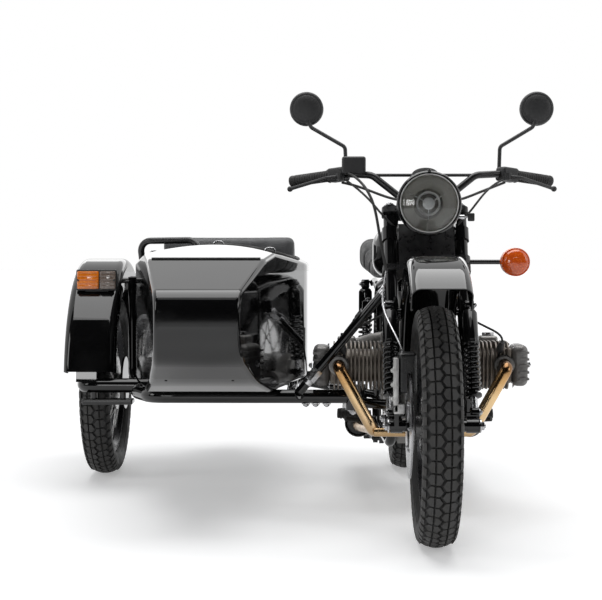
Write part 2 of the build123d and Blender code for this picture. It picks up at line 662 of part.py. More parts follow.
def engine_group():
    case = engine()
    left, right = cylinder_parts(1), cylinder_parts(-1)
    heads = [left[1], right[1]]
    add("engine_case", cut(case, left[0], right[0], nodes["frame"][0]))
    add("cylinders", left[0], right[0])
    add("cylinder_heads", *heads)
    add("rocker_covers", left[2], right[2])
    headers = [pipe(header_path(side), HEADER_RADIUS, [18, 45, 45, 60]) for side in (1, -1)]
    balance = rod((-HEADER_X, HEADER_Y, HEADER_Z), (HEADER_X, HEADER_Y, HEADER_Z), HEADER_RADIUS - 4)
    pipes = headers[0].fuse(headers[1], balance)
    add("exhaust_pipes", cut(pipes, *heads))
    hangers = both(rod((126, 1060, MUFFLER_Z), (MUFFLER_X, 1060, MUFFLER_Z), 9))
    cans = [muffler(1), muffler(-1)]
    add("mufflers", *[cut(can.fuse(hanger), nodes["frame"][0]) for can, hanger in zip(cans, hangers)])
    carbs = []
    for side in (1, -1):
        y = CRANK_Y + side * CYLINDER_STAGGER
        throat = rod((side * 262, y + 84, CRANK_Z + 30), (side * 214, y + 168, CRANK_Z + 52), 25)
        bowl = block((-30, -30, -62), (30, 30, 46), 9)
        duct = pipe([(side * 214, y + 160, CRANK_Z + 52), (side * 150, y + 236, CRANK_Z + 66),
                     (side * 70, y + 260, CRANK_Z + 80)], 22, 40)
        body = throat.fuse(Pos(side * 234, y + 130, CRANK_Z + 40) * bowl, duct)
        carbs.append(cut(body, *heads, nodes["engine_case"][0], nodes["frame"][0]))
    add("carburettors", *carbs)


def tank():
    sections = [
        (494, 96, 770, 868), (540, 140, 748, 896), (640, 152, 736, 904), (760, 142, 734, 888), (880, 92, 736, 826),
    ]
    faces = []
    for y, half, low, high in sections:
        frame = Plane((0, y, (low + high) / 2), x_dir=(1, 0, 0), z_dir=(0, 1, 0))
        faces.append(frame * RectangleRounded(2 * half, high - low, min(half, (high - low) / 2) * 0.72))
    solid = loft(faces)
    points = backbone_path()
    below = [(p[1], p[2]) for p in points[:3]]
    slab = extrude(Plane.YZ * make_face(Polyline(*below, (950, 600), (392, 600), close=True)), BACKBONE + SEAT_GAP, both=True)
    tunnel = pipe(points, BACKBONE + SEAT_GAP, 120)
    add("fuel_tank", cut(solid, slab, tunnel, nodes["frame"][0]))
    cap = Pos(0, 610, 905) * fillet(Cylinder(30, 22).edges(), 5)
    add("fuel_cap", cut(cap, solid))


def rider_seat():
    sections = [
        (884, 62, 742, 790), (960, 128, 738, 792), (1130, 146, 738, 800), (1215, 164, 748, 846), (1400, 162, 752, 852),
        (1535, 118, 762, 838),
    ]
    faces = []
    for y, half, low, high in sections:
        frame = Plane((0, y, (low + high) / 2), x_dir=(1, 0, 0), z_dir=(0, 1, 0))
        faces.append(frame * RectangleRounded(2 * half, high - low, (high - low) * 0.36))
    solid = loft(faces, ruled=False)
    return solid


def rear_end():
    centre = (0, REAR_Y, AXLE_Z + 8)
    guard = mudguard(centre, REAR_GUARD_RADIUS, REAR_GUARD_HALF, REAR_GUARD_SIDE, 62, 96)
    stays = both(rod((REAR_GUARD_HALF - 2, REAR_Y - 190, 676), (116, REAR_Y - 190, 712), 9))
    frame = nodes["frame"][0]
    guard = cut(guard.fuse(*stays), frame)
    add("rear_fender", guard)
    add("rider_seat", cut(rider_seat(), frame, nodes["fuel_tank"][0], guard))
    x = 88
    arm = pipe([(x, SWING_PIVOT_Y, SWING_PIVOT_Z), (x, SWING_PIVOT_Y + 150, SWING_PIVOT_Z - 4), (x + 12, REAR_Y, AXLE_Z)], 17, 200)
    arm = arm.fuse(rod((x + 12, REAR_Y - 60, AXLE_Z + 30), (REAR_SHOCK_X - 10, REAR_Y - 60, AXLE_Z + 30), 11))
    arm = arm.fuse(block((x - 4, REAR_Y - 74, AXLE_Z), (x + 22, REAR_Y - 46, AXLE_Z + 40)))
    sleeve = rod((-x, SWING_PIVOT_Y, SWING_PIVOT_Z), (x, SWING_PIVOT_Y, SWING_PIVOT_Z), 21)
    axle = rod((-132, REAR_Y, AXLE_Z), (132, REAR_Y, AXLE_Z), AXLE_RADIUS)
    spacer = rod((HUB_HALF + 2, REAR_Y, AXLE_Z), (x + 12, REAR_Y, AXLE_Z), AXLE_RADIUS + 8)
    swing = sleeve.fuse(*both(arm), axle, spacer)
    drive = Pos(-94, REAR_Y, AXLE_Z) * Rot(0, 90, 0) * fillet(Cylinder(96, 58).edges(), 14)
    nose = rod((-88, REAR_Y - 60, AXLE_Z), (-88, REAR_Y - 180, AXLE_Z + 3), 34)
    drive = cut(drive.fuse(nose), swing)
    eyes = [(REAR_SHOCK_X, REAR_Y - 60, AXLE_Z + 30), (REAR_SHOCK_X, REAR_Y - 110, 706)]
    shocks = both(shock(eyes[0], eyes[1], 27))
    shocks = [cut(piece, frame, drive) for piece in shocks]
    add("rear_shocks", *shocks)
    swing = cut(swing, frame, *shocks)
    add("swingarm", swing)
    add("final_drive", cut(drive, *shocks))


def guard_form(centre, radius, half):
    """Solid drum that stands for the outside of a mudguard."""
    return Pos(*centre) * Rot(0, 90, 0) * Cylinder(radius, 2 * half)


def tail():
    centre = (0, REAR_Y, AXLE_Z + 8)
    form = guard_form(centre, REAR_GUARD_RADIUS, REAR_GUARD_HALF)
    turn = math.radians(52)
    y = REAR_Y + REAR_GUARD_RADIUS * math.sin(turn)
    z = AXLE_Z + 8 + REAR_GUARD_RADIUS * math.cos(turn)
    lamp = block((-48, y - 30, z - 30), (48, y + 46, z + 34), 12)
    lamp = cut(lamp, form)
    back = y + PLATE_BACK
    foot = block((-24, y + 10, z - 92), (24, back + 4, z - 78))
    plate = block((-96, back, z - 196), (96, back + 4, z - 76))
    hole = Rot(90, 0, 0) * Cylinder(PLATE_HOLE_RADIUS, 20)
    holes = both(Pos(PLATE_HOLE_SPACING / 2, back, z - 136) * hole)
    add("plate_bracket", cut(foot.fuse(plate), form, *holes))
    side_centre = (SIDE_X, SIDE_Y, AXLE_Z + 13)
    side_form = guard_form(side_centre, SIDE_GUARD_RADIUS, SIDE_GUARD_HALF)
    y = SIDE_Y + SIDE_GUARD_RADIUS * math.sin(turn)
    z = AXLE_Z + 13 + SIDE_GUARD_RADIUS * math.cos(turn)
    side_lamp = block((SIDE_X - 50, y - 34, z - 30), (SIDE_X + 50, y + 40, z + 30), 12)
    add("tail_lamps", lamp, cut(side_lamp, side_form))
    front = block((SIDE_X - 60, SIDE_Y - 310, 690), (SIDE_X + 82, SIDE_Y - 240, 761), 16)
    bracket = block((SIDE_X - 30, SIDE_Y - 300, 640), (SIDE_X + 52, SIDE_Y - 250, 700))
    add("sidecar_front_lamp", cut(front.fuse(bracket), side_form))


def foot_controls():
    frame = nodes["frame"][0]
    pegs = []
    for solid in both(rod((148, 850, FRAME_BOTTOM_Z + 19), (160, 850, FRAME_BOTTOM_Z + 60), 11)):
        pegs.append(solid)
    rest = rod((150, 846, FRAME_BOTTOM_Z + 60), (262, 838, FRAME_BOTTOM_Z + 66), 15)
    pedal = pipe([(156, 850, FRAME_BOTTOM_Z + 46), (196, 700, FRAME_BOTTOM_Z + 60), (238, 672, FRAME_BOTTOM_Z + 66)], 8, 24)
    sides = [post.fuse(piece) for post, piece in zip(pegs, both(rest.fuse(pedal)))]
    add("foot_pegs", *[cut(piece, frame, nodes["exhaust_pipes"][0]) for piece in sides])
    boxes = both(block((84, 905, 520), (128, 1112, 690), 14))
    add("side_boxes", *[cut(box, frame, nodes["engine_case"][0], *nodes["carburettors"]) for box in boxes])


def centre_stand():
    bore = Pos(0, STAND_Y, STAND_Z) * Rot(0, 90, 0) * Cylinder(8 + RUN_CLEARANCE, 400)
    knuckle = rod((STAND_X + 13, STAND_Y, STAND_Z), (STAND_X + 29, STAND_Y, STAND_Z), 15)
    leg = pipe([(STAND_X + 21, STAND_Y, STAND_Z), (STAND_X + 21, STAND_Y + 90, STAND_Z - 4),
                (STAND_X + 34, STAND_Y + STAND_LENGTH, STAND_Z - 8)], 12, 60)
    foot = block((STAND_X + 12, STAND_Y + STAND_LENGTH - 24, STAND_Z - 24),
                 (STAND_X + 56, STAND_Y + STAND_LENGTH + 8, STAND_Z - 12))
    bar = rod((-STAND_X - 21, STAND_Y + 84, STAND_Z - 4), (STAND_X + 21, STAND_Y + 84, STAND_Z - 4), 9)
    tang = pipe([(STAND_X + 34, STAND_Y + STAND_LENGTH - 12, STAND_Z - 10),
                 (STAND_X + 70, STAND_Y + STAND_LENGTH + 10, STAND_Z - 12),
                 (STAND_X + 70, STAND_Y + STAND_LENGTH + 70, STAND_Z - 4)], 7, 20)
    sides = both(knuckle.fuse(leg, foot))
    add("centre_stand", bar.fuse(*sides, tang) - bore)


# Sidecar

def sharp_edges(solid):
    """Edges where two faces meet at a clear angle, away from the middle of the body."""
    faces = solid.faces()
    found = []
    for edge in solid.edges():
        near = [face for face in faces if any(other.is_same(edge) for other in face.edges())]
        middle = edge @ 0.5
        if len(near) == 2 and near[0].normal_at(middle).get_angle(near[1].normal_at(middle)) > 25:
            found.append(edge)
    return found


def body_form(inset):
    """Sidecar body from its side view, plan and arched crown, taken in evenly by the inset."""
    nose = BODY_NOSE_Y
    side = outline([
        (nose + 430, BODY_FLOOR_Z), (nose + 220, 434), (nose, 530), (nose, 705), (nose + 340, 802), (860, 874),
        (1560, 874), (TAIL_Y, 640), (TAIL_Y - 25, 470), (1600, BODY_FLOOR_Z),
    ], [300, 500, 130, 70, 200, 300, 60, 90, 90, 200])
    plan = outline([
        (-NOSE_HALF, nose - 4), (NOSE_HALF, nose - 4), (BODY_HALF, 985), (BODY_HALF, 1560),
        (190, TAIL_Y + 5), (-190, TAIL_Y + 5), (-BODY_HALF, 1560), (-BODY_HALF, 985),
    ], [4, 4, 700, 600, 80, 80, 600, 700])
    radius = BODY_CROWN_RADIUS - inset
    crown = Pos(0, 0, BODY_CROWN_Z - BODY_CROWN_RADIUS) * Rot(90, 0, 0) * Cylinder(radius, 6000)
    if inset:
        side, plan = offset(side, -inset), offset(plan, -inset)
    form = extrude(Plane.YZ * side, 400, both=True) & extrude(plan, 1200) & crown
    return Pos(BODY_X, 0, 0) * fillet(sharp_edges(form), BODY_ROUND - inset)


def panel(points, radii, low, high):
    """Upright prism over a plan outline given about the sidecar's centre line."""
    return Pos(BODY_X, 0, low) * extrude(outline(points, radii), high - low)


def lid_prism(grow):
    half, back = LID_HALF + grow, LID_HALF - LID_TAPER + grow
    return panel([
        (-half, LID_FRONT_Y - grow), (half, LID_FRONT_Y - grow), (back, LID_REAR_Y + grow), (-back, LID_REAR_Y + grow),
    ], 40 + grow, 600, 1000)


def sidecar_body():
    outer, inner = body_form(0), body_form(BODY_WALL)
    shell = outer - inner
    wall = inner & block((BODY_X - 400, COCKPIT_REAR_Y + 6, 300), (BODY_X + 400, COCKPIT_REAR_Y + 12, 1000))
    opening = panel([
        (-COCKPIT_HALF + 46, COCKPIT_FRONT_Y), (COCKPIT_HALF - 46, COCKPIT_FRONT_Y),
        (COCKPIT_HALF, COCKPIT_FRONT_Y + 210), (COCKPIT_HALF, COCKPIT_REAR_Y),
        (-COCKPIT_HALF, COCKPIT_REAR_Y), (-COCKPIT_HALF, COCKPIT_FRONT_Y + 210),
    ], [70, 70, 200, 40, 40, 200], 640, 1000)
    lid = shell & lid_prism(0)
    body = cut(shell.fuse(wall), opening, lid_prism(PANEL_GAP))
    hinge_z = BODY_CROWN_Z + 5
    pin = rod((BODY_X - 70, LID_FRONT_Y, hinge_z), (BODY_X + 70, LID_FRONT_Y, hinge_z), 3)
    bore = rod((BODY_X - 80, LID_FRONT_Y, hinge_z), (BODY_X + 80, LID_FRONT_Y, hinge_z), 3 + RUN_CLEARANCE)
    for x in (-55, 55):
        leaf = block((BODY_X + x - 14, LID_FRONT_Y - 34, hinge_z - 8), (BODY_X + x + 14, LID_FRONT_Y, hinge_z - 1))
        post = rod((BODY_X + x - 14, LID_FRONT_Y, hinge_z), (BODY_X + x + 14, LID_FRONT_Y, hinge_z), 6)
        body = body.fuse(cut(leaf, inner), post)
    body = body.fuse(pin)
    for x in (-34, 34):
        knuckle = rod((BODY_X + x - 6, LID_FRONT_Y, hinge_z), (BODY_X + x + 6, LID_FRONT_Y, hinge_z), 6)
        leaf = block((BODY_X + x - 6, LID_FRONT_Y, hinge_z - 8), (BODY_X + x + 6, LID_FRONT_Y + 40, hinge_z - 1))
        lid = lid.fuse(knuckle, cut(leaf, inner))
    add("sidecar_body", body)
    add("trunk_lid", lid - bore)
    return outer


def sidecar_seats():
    floor = BODY_FLOOR_Z + BODY_WALL + SEAT_GAP
    cushion = block((BODY_X - 235, 960, floor), (BODY_X + 235, 1404, 566), 26)
    rear = COCKPIT_REAR_Y + 6 - SEAT_GAP
    back = block((BODY_X - 250, 1396, 566 + SEAT_GAP), (BODY_X + 250, rear, 886), 24)
    body = nodes["sidecar_body"][0]
    add("sidecar_seat", cut(cushion, body))
    add("sidecar_backrest", cut(back, body))


def sidecar_frame(outer):
    outer_tube = pipe([
        (-236, FRONT_RAIL_Y, RAIL_Z), (OUTER_RAIL_X + 60, FRONT_RAIL_Y, RAIL_Z),
        (OUTER_RAIL_X, FRONT_RAIL_Y + 130, RAIL_Z), (OUTER_RAIL_X, REAR_RAIL_Y + 24, RAIL_Z),
    ], RAIL_RADIUS, 60)
    inner_tube = pipe([
        (INNER_RAIL_X, FRONT_RAIL_Y, RAIL_Z), (INNER_RAIL_X, REAR_RAIL_Y, RAIL_Z), (OUTER_RAIL_X, REAR_RAIL_Y, RAIL_Z),
    ], RAIL_RADIUS - 1.5, 60)
    bumper = pipe([
        (OUTER_RAIL_X, BUMPER_Y, RAIL_Z), (SIDE_X - 10, BUMPER_Y, RAIL_Z), (SIDE_X - 24, BUMPER_Y + 52, RAIL_Z),
    ], RAIL_RADIUS - 1.5, 34)
    tower_x = SIDE_SHOCK_X
    guard_x = SIDE_X + SIDE_GUARD_HALF + SEAT_GAP
    top = (SIDE_SHOCK_X, 1242, 722)
    pivot = (OUTER_RAIL_X - RAIL_RADIUS - 8, 1080, RAIL_Z - 8)
    drum = guard_form((SIDE_X, SIDE_Y, AXLE_Z + 13), SIDE_GUARD_RADIUS - GUARD_WALL - SEAT_GAP, SIDE_GUARD_HALF)
    pieces = [
        inner_tube, bumper,
        rod((INNER_RAIL_X, 1130, RAIL_Z), (OUTER_RAIL_X, 1130, RAIL_Z), RAIL_RADIUS - 5),
        pipe([(OUTER_RAIL_X, 1160, RAIL_Z), (tower_x, 1164, RAIL_Z), (tower_x, 1165, 734)], 14, 30),
        rod((tower_x, 1165, top[2]), (tower_x, top[1] - 15 - SEAT_GAP, top[2]), 10),
        rod((tower_x, 1165, top[2]), (guard_x, 1165, top[2]), 10),
        pipe([
            (OUTER_RAIL_X, REAR_RAIL_Y - 80, RAIL_Z), (SIDE_SHOCK_X, REAR_RAIL_Y - 60, RAIL_Z),
            (SIDE_SHOCK_X, REAR_RAIL_Y, 720), (guard_x, REAR_RAIL_Y, 720),
        ], 12, [40, 20]),
        block((SIDE_X - 40, BUMPER_Y - 40, RAIL_Z + 14), (SIDE_X + 30, BUMPER_Y - 4, 446)) & drum,
        block((SIDE_X - 20, BUMPER_Y - 34, RAIL_Z - 64), (SIDE_X + 155, BUMPER_Y + 34, RAIL_Z - 46), 6),
        rod((STRUT_FOOT[0], FRONT_RAIL_Y, RAIL_Z), STRUT_FOOT, 15),
        rod((INNER_RAIL_X, REAR_STRUT_FOOT[1], RAIL_Z), REAR_STRUT_FOOT, 15),
        rod((OUTER_RAIL_X, *pivot[1:]), (pivot[0] - 34, *pivot[1:]), 13),
    ]
    pieces += [rod((SIDE_X + x, BUMPER_Y, RAIL_Z - 50), (SIDE_X + x, BUMPER_Y, RAIL_Z), 11) for x in (18, 118)]
    pieces += [
        rod((x, y, RAIL_Z), (x, y, BODY_FLOOR_Z - SEAT_GAP), 14)
        for x in (INNER_RAIL_X, OUTER_RAIL_X) for y in (1040, 1460)
    ]
    add("sidecar_frame", outer_tube.fuse(*pieces))
    damper = shock((SIDE_SHOCK_X, 1292, AXLE_Z + 34), top, 25)
    hub_in = SIDE_X + HUB_HALF
    arm_x = SIDE_X + 104
    sleeve = rod((pivot[0] - 4, *pivot[1:]), (pivot[0] - 32, *pivot[1:]), 21)
    arm = pipe([(pivot[0] - 18, *pivot[1:]), (arm_x, pivot[1] + 90, AXLE_Z + 6), (arm_x, SIDE_Y, AXLE_Z)], 17, 40)
    stub = rod((arm_x + 22, SIDE_Y, AXLE_Z), (SIDE_X - HUB_HALF - 22, SIDE_Y, AXLE_Z), AXLE_RADIUS)
    plate = rod((hub_in + 4, SIDE_Y, AXLE_Z), (hub_in + 12, SIDE_Y, AXLE_Z), DRUM_RADIUS + 3)
    post = block((arm_x - 12, 1280, AXLE_Z), (SIDE_SHOCK_X + 12, 1304, AXLE_Z + 30))
    bore = rod((pivot[0] + 10, *pivot[1:]), (pivot[0] - 60, *pivot[1:]), 13 + RUN_CLEARANCE)
    add("sidecar_swingarm", cut(arm.fuse(sleeve, stub, plate, post), bore, damper))
    add("sidecar_shock", damper)
    rail = pipe([
        (BODY_X - 258, 900, 750), (BODY_X - 268, 872, 862), (BODY_X - 78, 812, 864), (BODY_X - 48, 790, 810),
    ], 11, [40, 40])
    add("grab_rail", cut(rail, outer))


def sidecar_struts():
    """Links with upright eyes that hold the sidecar to the motorcycle."""
    keep = [nodes[name][0] for name in ("frame", "sidecar_frame", "sidecar_body", "fuel_tank")]
    made = []
    for root, tip, stub, end, radius, eye in LINKS:
        low, high = (tip[0], tip[1], tip[2] - eye), (tip[0], tip[1], tip[2] + eye)
        link = rod(tip, end, radius).fuse(rod(low, high, eye))
        reach = Vector(*tip) + (Vector(*tip) - Vector(*root)).normalized() * SEAT_GAP
        socket = rod(root, tuple(reach), stub + SEAT_GAP)
        made.append(max(cut(link, socket, *keep).solids(), key=lambda piece: piece.volume))
    add("sidecar_struts", *made)


def sidecar():
    guard = mudguard(
        (SIDE_X, SIDE_Y, AXLE_Z + 13), SIDE_GUARD_RADIUS, SIDE_GUARD_HALF, SIDE_GUARD_SIDE,
        SIDE_GUARD_SWEEP, SIDE_GUARD_SWEEP,
    )
    add("sidecar_fender", guard)
    outer = sidecar_body()
    sidecar_frame(outer)
    sidecar_seats()
    sidecar_struts()


wheels()
steering()
add("frame", bike_frame())
engine_group()
tank()
rear_end()
tail()
foot_controls()
centre_stand()
sidecar()

os.makedirs("parts", exist_ok=True)
for name, solids in nodes.items():
    placed = [Pos(-ORIGIN_X, -ORIGIN_Y, 0) * solid for solid in solids]
    export_step(placed[0] if len(placed) == 1 else Compound(children=placed), f"parts/{name}.step")
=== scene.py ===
"""Studio view of a black sidecar motorcycle.

Gives the exact parts their finishes, and adds block tread, coil springs, sewn seats, lamps and fittings.
"""
import math
import bmesh
import bpy
from mathutils import Matrix, Vector
from mathutils.bvhtree import BVHTree


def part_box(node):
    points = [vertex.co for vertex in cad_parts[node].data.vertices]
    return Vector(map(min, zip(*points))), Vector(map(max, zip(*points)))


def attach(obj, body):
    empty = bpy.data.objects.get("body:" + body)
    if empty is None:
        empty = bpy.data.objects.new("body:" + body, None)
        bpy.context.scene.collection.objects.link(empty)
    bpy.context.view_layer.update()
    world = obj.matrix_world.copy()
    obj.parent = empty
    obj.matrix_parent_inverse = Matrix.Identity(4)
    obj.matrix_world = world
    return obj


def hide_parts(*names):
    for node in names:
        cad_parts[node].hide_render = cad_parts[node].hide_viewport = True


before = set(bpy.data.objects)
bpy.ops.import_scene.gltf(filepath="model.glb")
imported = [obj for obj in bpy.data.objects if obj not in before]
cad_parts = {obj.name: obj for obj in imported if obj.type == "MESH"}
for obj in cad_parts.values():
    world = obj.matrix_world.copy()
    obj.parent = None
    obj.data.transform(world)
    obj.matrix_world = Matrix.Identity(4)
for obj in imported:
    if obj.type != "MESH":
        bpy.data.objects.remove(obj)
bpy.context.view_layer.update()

# Places are millimetres across from the motorcycle's middle, behind the front axle and above the ground
MIDDLE_X, MIDDLE_Y = -398.5, 836.5
AXLE_Z = 337
FRONT_AXLE, REAR_AXLE, SIDE_AXLE = (0, 0, AXLE_Z), (0, 1500, AXLE_Z), (-1120, 1350, AXLE_Z)
RAKE = math.radians(27)
TRAIL = 60
SIDECAR_X = -666
LEFT, RIGHT, AHEAD, BACK = (1, 0, 0), (-1, 0, 0), (0, -1, 0), (0, 1, 0)
UP, DOWN = (0, 0, 1), (0, 0, -1)
STEM = (0, math.sin(RAKE), math.cos(RAKE))


def place(x, y, z):
    """Point in metres from a place in millimetres."""
    return Vector(((x - MIDDLE_X) / 1000, (y - MIDDLE_Y) / 1000, z / 1000))


def fork_place(across, behind, along):
    """Point from millimetres across, behind and along the steering axis."""
    y = -TRAIL + behind * math.cos(RAKE) + along * math.sin(RAKE)
    z = -behind * math.sin(RAKE) + along * math.cos(RAKE)
    return place(across, y, z)


# Finishes

class Wire:
    """A shader socket that takes part in sums."""

    def __init__(self, nodes, socket):
        self.nodes = nodes
        self.socket = socket

    def sum(self, operation, first, second):
        return self.nodes.node("Math", {"operation": operation}, {0: first, 1: second})

    def __add__(self, other):
        return self.sum("ADD", self, other)

    def __radd__(self, other):
        return self.sum("ADD", other, self)

    def __sub__(self, other):
        return self.sum("SUBTRACT", self, other)

    def __rsub__(self, other):
        return self.sum("SUBTRACT", other, self)

    def __mul__(self, other):
        return self.sum("MULTIPLY", self, other)

    def __rmul__(self, other):
        return self.sum("MULTIPLY", other, self)

    def __pow__(self, other):
        return self.sum("POWER", self, other)

    def __gt__(self, other):
        return self.sum("GREATER_THAN", self, other)


class Nodes:
    """A node tree that shaders, textures and sums are added to."""

    def __init__(self, tree):
        self.tree = tree

    def node(self, kind, settings, inputs, output=0):
        """Adds a node: its settings first, then the values or links of its sockets."""
        made = self.tree.nodes.new("ShaderNode" + kind)
        for key, value in settings.items():
            if key == "stops":
                self.set_stops(made.color_ramp, value)
            else:
                setattr(made, key, value)
        for key, value in inputs.items():
            self.join(made.inputs[key], value)
        return Wire(self, made.outputs[output])

    def set_stops(self, ramp, stops):
        for spare in list(ramp.elements)[len(stops):]:
            ramp.elements.remove(spare)
        for i, (where, colour) in enumerate(stops):
            stop = ramp.elements[i] if i < len(ramp.elements) else ramp.elements.new(where)
            stop.position = where
            stop.color = (*colour, 1.0)

    def join(self, socket, value):
        if isinstance(value, Wire):
            self.tree.links.new(value.socket, socket)
        else:
            socket.default_value = value


class Finish(Nodes):
    """One material, its shader and the nodes that feed it."""

    def __init__(self, name, colour, roughness, metallic=0.0, **more):
        self.material = bpy.data.materials.new(name)
        self.material.use_nodes = True
        super().__init__(self.material.node_tree)
        self.shader = self.tree.nodes["Principled BSDF"]
        self.feed("Base Color", (*colour, 1.0))
        self.feed("Roughness", roughness)
        self.feed("Metallic", metallic)
        for key, value in more.items():
            self.feed(key.replace("_", " "), value)

    def feed(self, socket, value):
        self.join(self.shader.inputs[socket], value)

    def where(self):
        return self.node("TexCoord", {}, {}, "Object")

    def axis(self, letter):
        return self.node("SeparateXYZ", {}, {0: self.where()}, letter)

    def noise(self, scale, detail=3.0, roughness=0.55):
        inputs = {"Vector": self.where(), "Scale": scale, "Detail": detail, "Roughness": roughness}
        return self.node("TexNoise", {}, inputs)

    def cells(self, scale, feature="DISTANCE_TO_EDGE"):
        return self.node("TexVoronoi", {"feature": feature}, {"Vector": self.where(), "Scale": scale})

    def between(self, value, low, high, to_low, to_high):
        """Maps a stretch of a value onto another, held at its ends."""
        return self.node("MapRange", {}, {"Value": value, 1: low, 2: high, 3: to_low, 4: to_high})

    def patches(self, scale, detail, low, high):
        """Mask of soft patches, from none below a low value of the noise to full above a high one."""
        return self.between(self.noise(scale, detail), low, high, 0.0, 1.0)

    def roughen(self, scale, detail, smooth, rough):
        """Lets the roughness wander between two values."""
        self.feed("Roughness", self.between(self.noise(scale, detail), 0.3, 0.7, smooth, rough))

    def ramp(self, value, *stops):
        return self.node("ValToRGB", {"stops": stops}, {"Fac": value})

    def tint(self, mask, first, second):
        """Colour from the first to the second by a mask."""
        def rgba(colour):
            return colour if isinstance(colour, Wire) else (*colour, 1.0)
        return self.node("Mix", {"data_type": "RGBA"}, {0: mask, 6: rgba(first), 7: rgba(second)}, 2)

    def bump(self, height, strength, distance):
        inputs = {"Strength": strength, "Distance": distance, "Height": height}
        self.feed("Normal", self.node("Bump", {}, inputs))

    def radius(self, axle):
        """Distance in metres from an axle that runs along x."""
        centre = place(*axle)
        y = self.axis("Y") - centre.y
        z = self.axis("Z") - centre.z
        return (y * y + z * z) ** 0.5


def gloss_black():
    f = Finish("gloss black paint", (0.004, 0.004, 0.0042), 0.05)
    dust = f.patches(9, 5, 0.45, 0.75)
    f.feed("Roughness", f.between(dust, 0, 1, 0.03, 0.075))
    f.feed("Base Color", f.tint(dust, (0.003, 0.003, 0.0032), (0.007, 0.007, 0.0072)))
    f.bump(f.noise(420, 2), 0.008, 0.0003)
    return f.material


def satin_black():
    f = Finish("satin black paint", (0.008, 0.008, 0.0085), 0.3)
    wear = f.patches(38, 6, 0.52, 0.78)
    f.feed("Base Color", f.tint(wear, (0.006, 0.006, 0.0065), (0.018, 0.0175, 0.017)))
    f.roughen(60, 4, 0.22, 0.42)
    f.bump(f.noise(300, 3), 0.05, 0.0004)
    return f.material


def matte_plastic():
    f = Finish("matte black plastic", (0.016, 0.016, 0.017), 0.55)
    f.feed("Base Color", f.tint(f.noise(45, 4), (0.009, 0.009, 0.0095), (0.020, 0.020, 0.021)))
    f.roughen(120, 3, 0.42, 0.62)
    f.bump(f.cells(1500), 0.12, 0.0003)
    return f.material


def rubber(name, dark, dusty):
    f = Finish(name, dark, 0.8)
    dust = f.patches(26, 6, 0.40, 0.72)
    f.feed("Base Color", f.tint(dust, dark, dusty))
    f.feed("Roughness", f.between(dust, 0, 1, 0.58, 0.9))
    f.bump(f.noise(650, 4), 0.22, 0.0006)
    return f.material


def wheel_metal(name, axle, hub_radius):
    """Dark rim with a bright edge, steel spokes and a cast hub, told apart by their radius."""
    f = Finish(name, (0.5, 0.5, 0.5), 0.25, 1.0)
    away = f.radius(axle)
    rim = f.between(away, 0.2275, 0.229, 0.0, 1.0)
    hub = f.between(away, hub_radius - 0.001, hub_radius + 0.001, 1.0, 0.0)
    edge = f.between(away, 0.2515, 0.2525, 0.0, 1.0)
    grime = f.patches(70, 5, 0.4, 0.75)
    spoke = f.tint(grime, (0.48, 0.48, 0.48), (0.26, 0.25, 0.24))
    cast = f.tint(grime, (0.32, 0.32, 0.32), (0.24, 0.235, 0.23))
    body = f.tint(hub, spoke, cast)
    hoop = f.tint(edge, (0.035, 0.035, 0.037), (0.55, 0.55, 0.56))
    f.feed("Base Color", f.tint(rim, body, hoop))
    f.roughen(90, 4, 0.2, 0.42)
    f.bump(f.noise(900, 3) * hub, 0.1, 0.0004)
    return f.material


def steel(name, colour=(0.52, 0.52, 0.53), rough=(0.16, 0.34)):
    f = Finish(name, colour, 0.25, 1.0)
    stain = f.patches(55, 5, 0.42, 0.75)
    f.feed("Base Color", f.tint(stain, colour, tuple(c * 0.62 for c in colour)))
    f.roughen(110, 4, *rough)
    f.bump(f.noise(700, 2), 0.03, 0.0003)
    return f.material


def ground_steel():
    """Brake disc with fine turned rings."""
    f = Finish("ground steel disc", (0.45, 0.45, 0.46), 0.3, 1.0)
    away = f.radius(FRONT_AXLE)
    inputs = {"W": away * 900.0, "Scale": 1.0, "Detail": 3.0}
    rings = f.node("TexNoise", {"noise_dimensions": "1D"}, inputs)
    f.feed("Base Color", f.tint(rings, (0.30, 0.30, 0.31), (0.55, 0.55, 0.56)))
    f.feed("Roughness", f.between(rings, 0.3, 0.7, 0.2, 0.4))
    f.bump(rings, 0.08, 0.0003)
    return f.material


def cast_alloy(name, light, dark, grit=700):
    f = Finish(name, light, 0.45, 0.5)
    patch = f.patches(24, 6, 0.38, 0.7)
    f.feed("Base Color", f.tint(patch, light, dark))
    f.roughen(60, 5, 0.34, 0.6)
    f.bump(f.noise(grit, 4), 0.22, 0.0008)
    return f.material


def heated_pipe():
    """Exhaust pipe tinted straw and gold, browner near the ports."""
    f = Finish("heat tinted pipe", (0.5, 0.36, 0.2), 0.2, 1.0)
    height = f.axis("Z") + f.noise(14, 3) * 0.05
    heat = f.between(height, 0.27, 0.49, 0.0, 1.0)
    tone = f.ramp(
        heat, (0.0, (0.50, 0.33, 0.17)), (0.25, (0.66, 0.47, 0.27)), (0.55, (0.70, 0.50, 0.27)),
        (0.8, (0.52, 0.31, 0.13)), (1.0, (0.24, 0.13, 0.06)),
    )
    f.feed("Base Color", tone)
    f.roughen(60, 4, 0.14, 0.3)
    f.bump(f.noise(400, 2), 0.03, 0.0003)
    return f.material


def leather(name, light, dark):
    f = Finish(name, light, 0.5, 0.0, Sheen_Weight=0.08)
    grain = f.cells(420)
    crease = f.patches(18, 6, 0.35, 0.7)
    f.feed("Base Color", f.tint(crease, light, dark))
    f.roughen(40, 4, 0.36, 0.6)
    f.bump(f.between(grain, 0.0, 0.18, 0.0, 1.0) + f.noise(90, 4) * 0.4, 0.32, 0.0006)
    return f.material


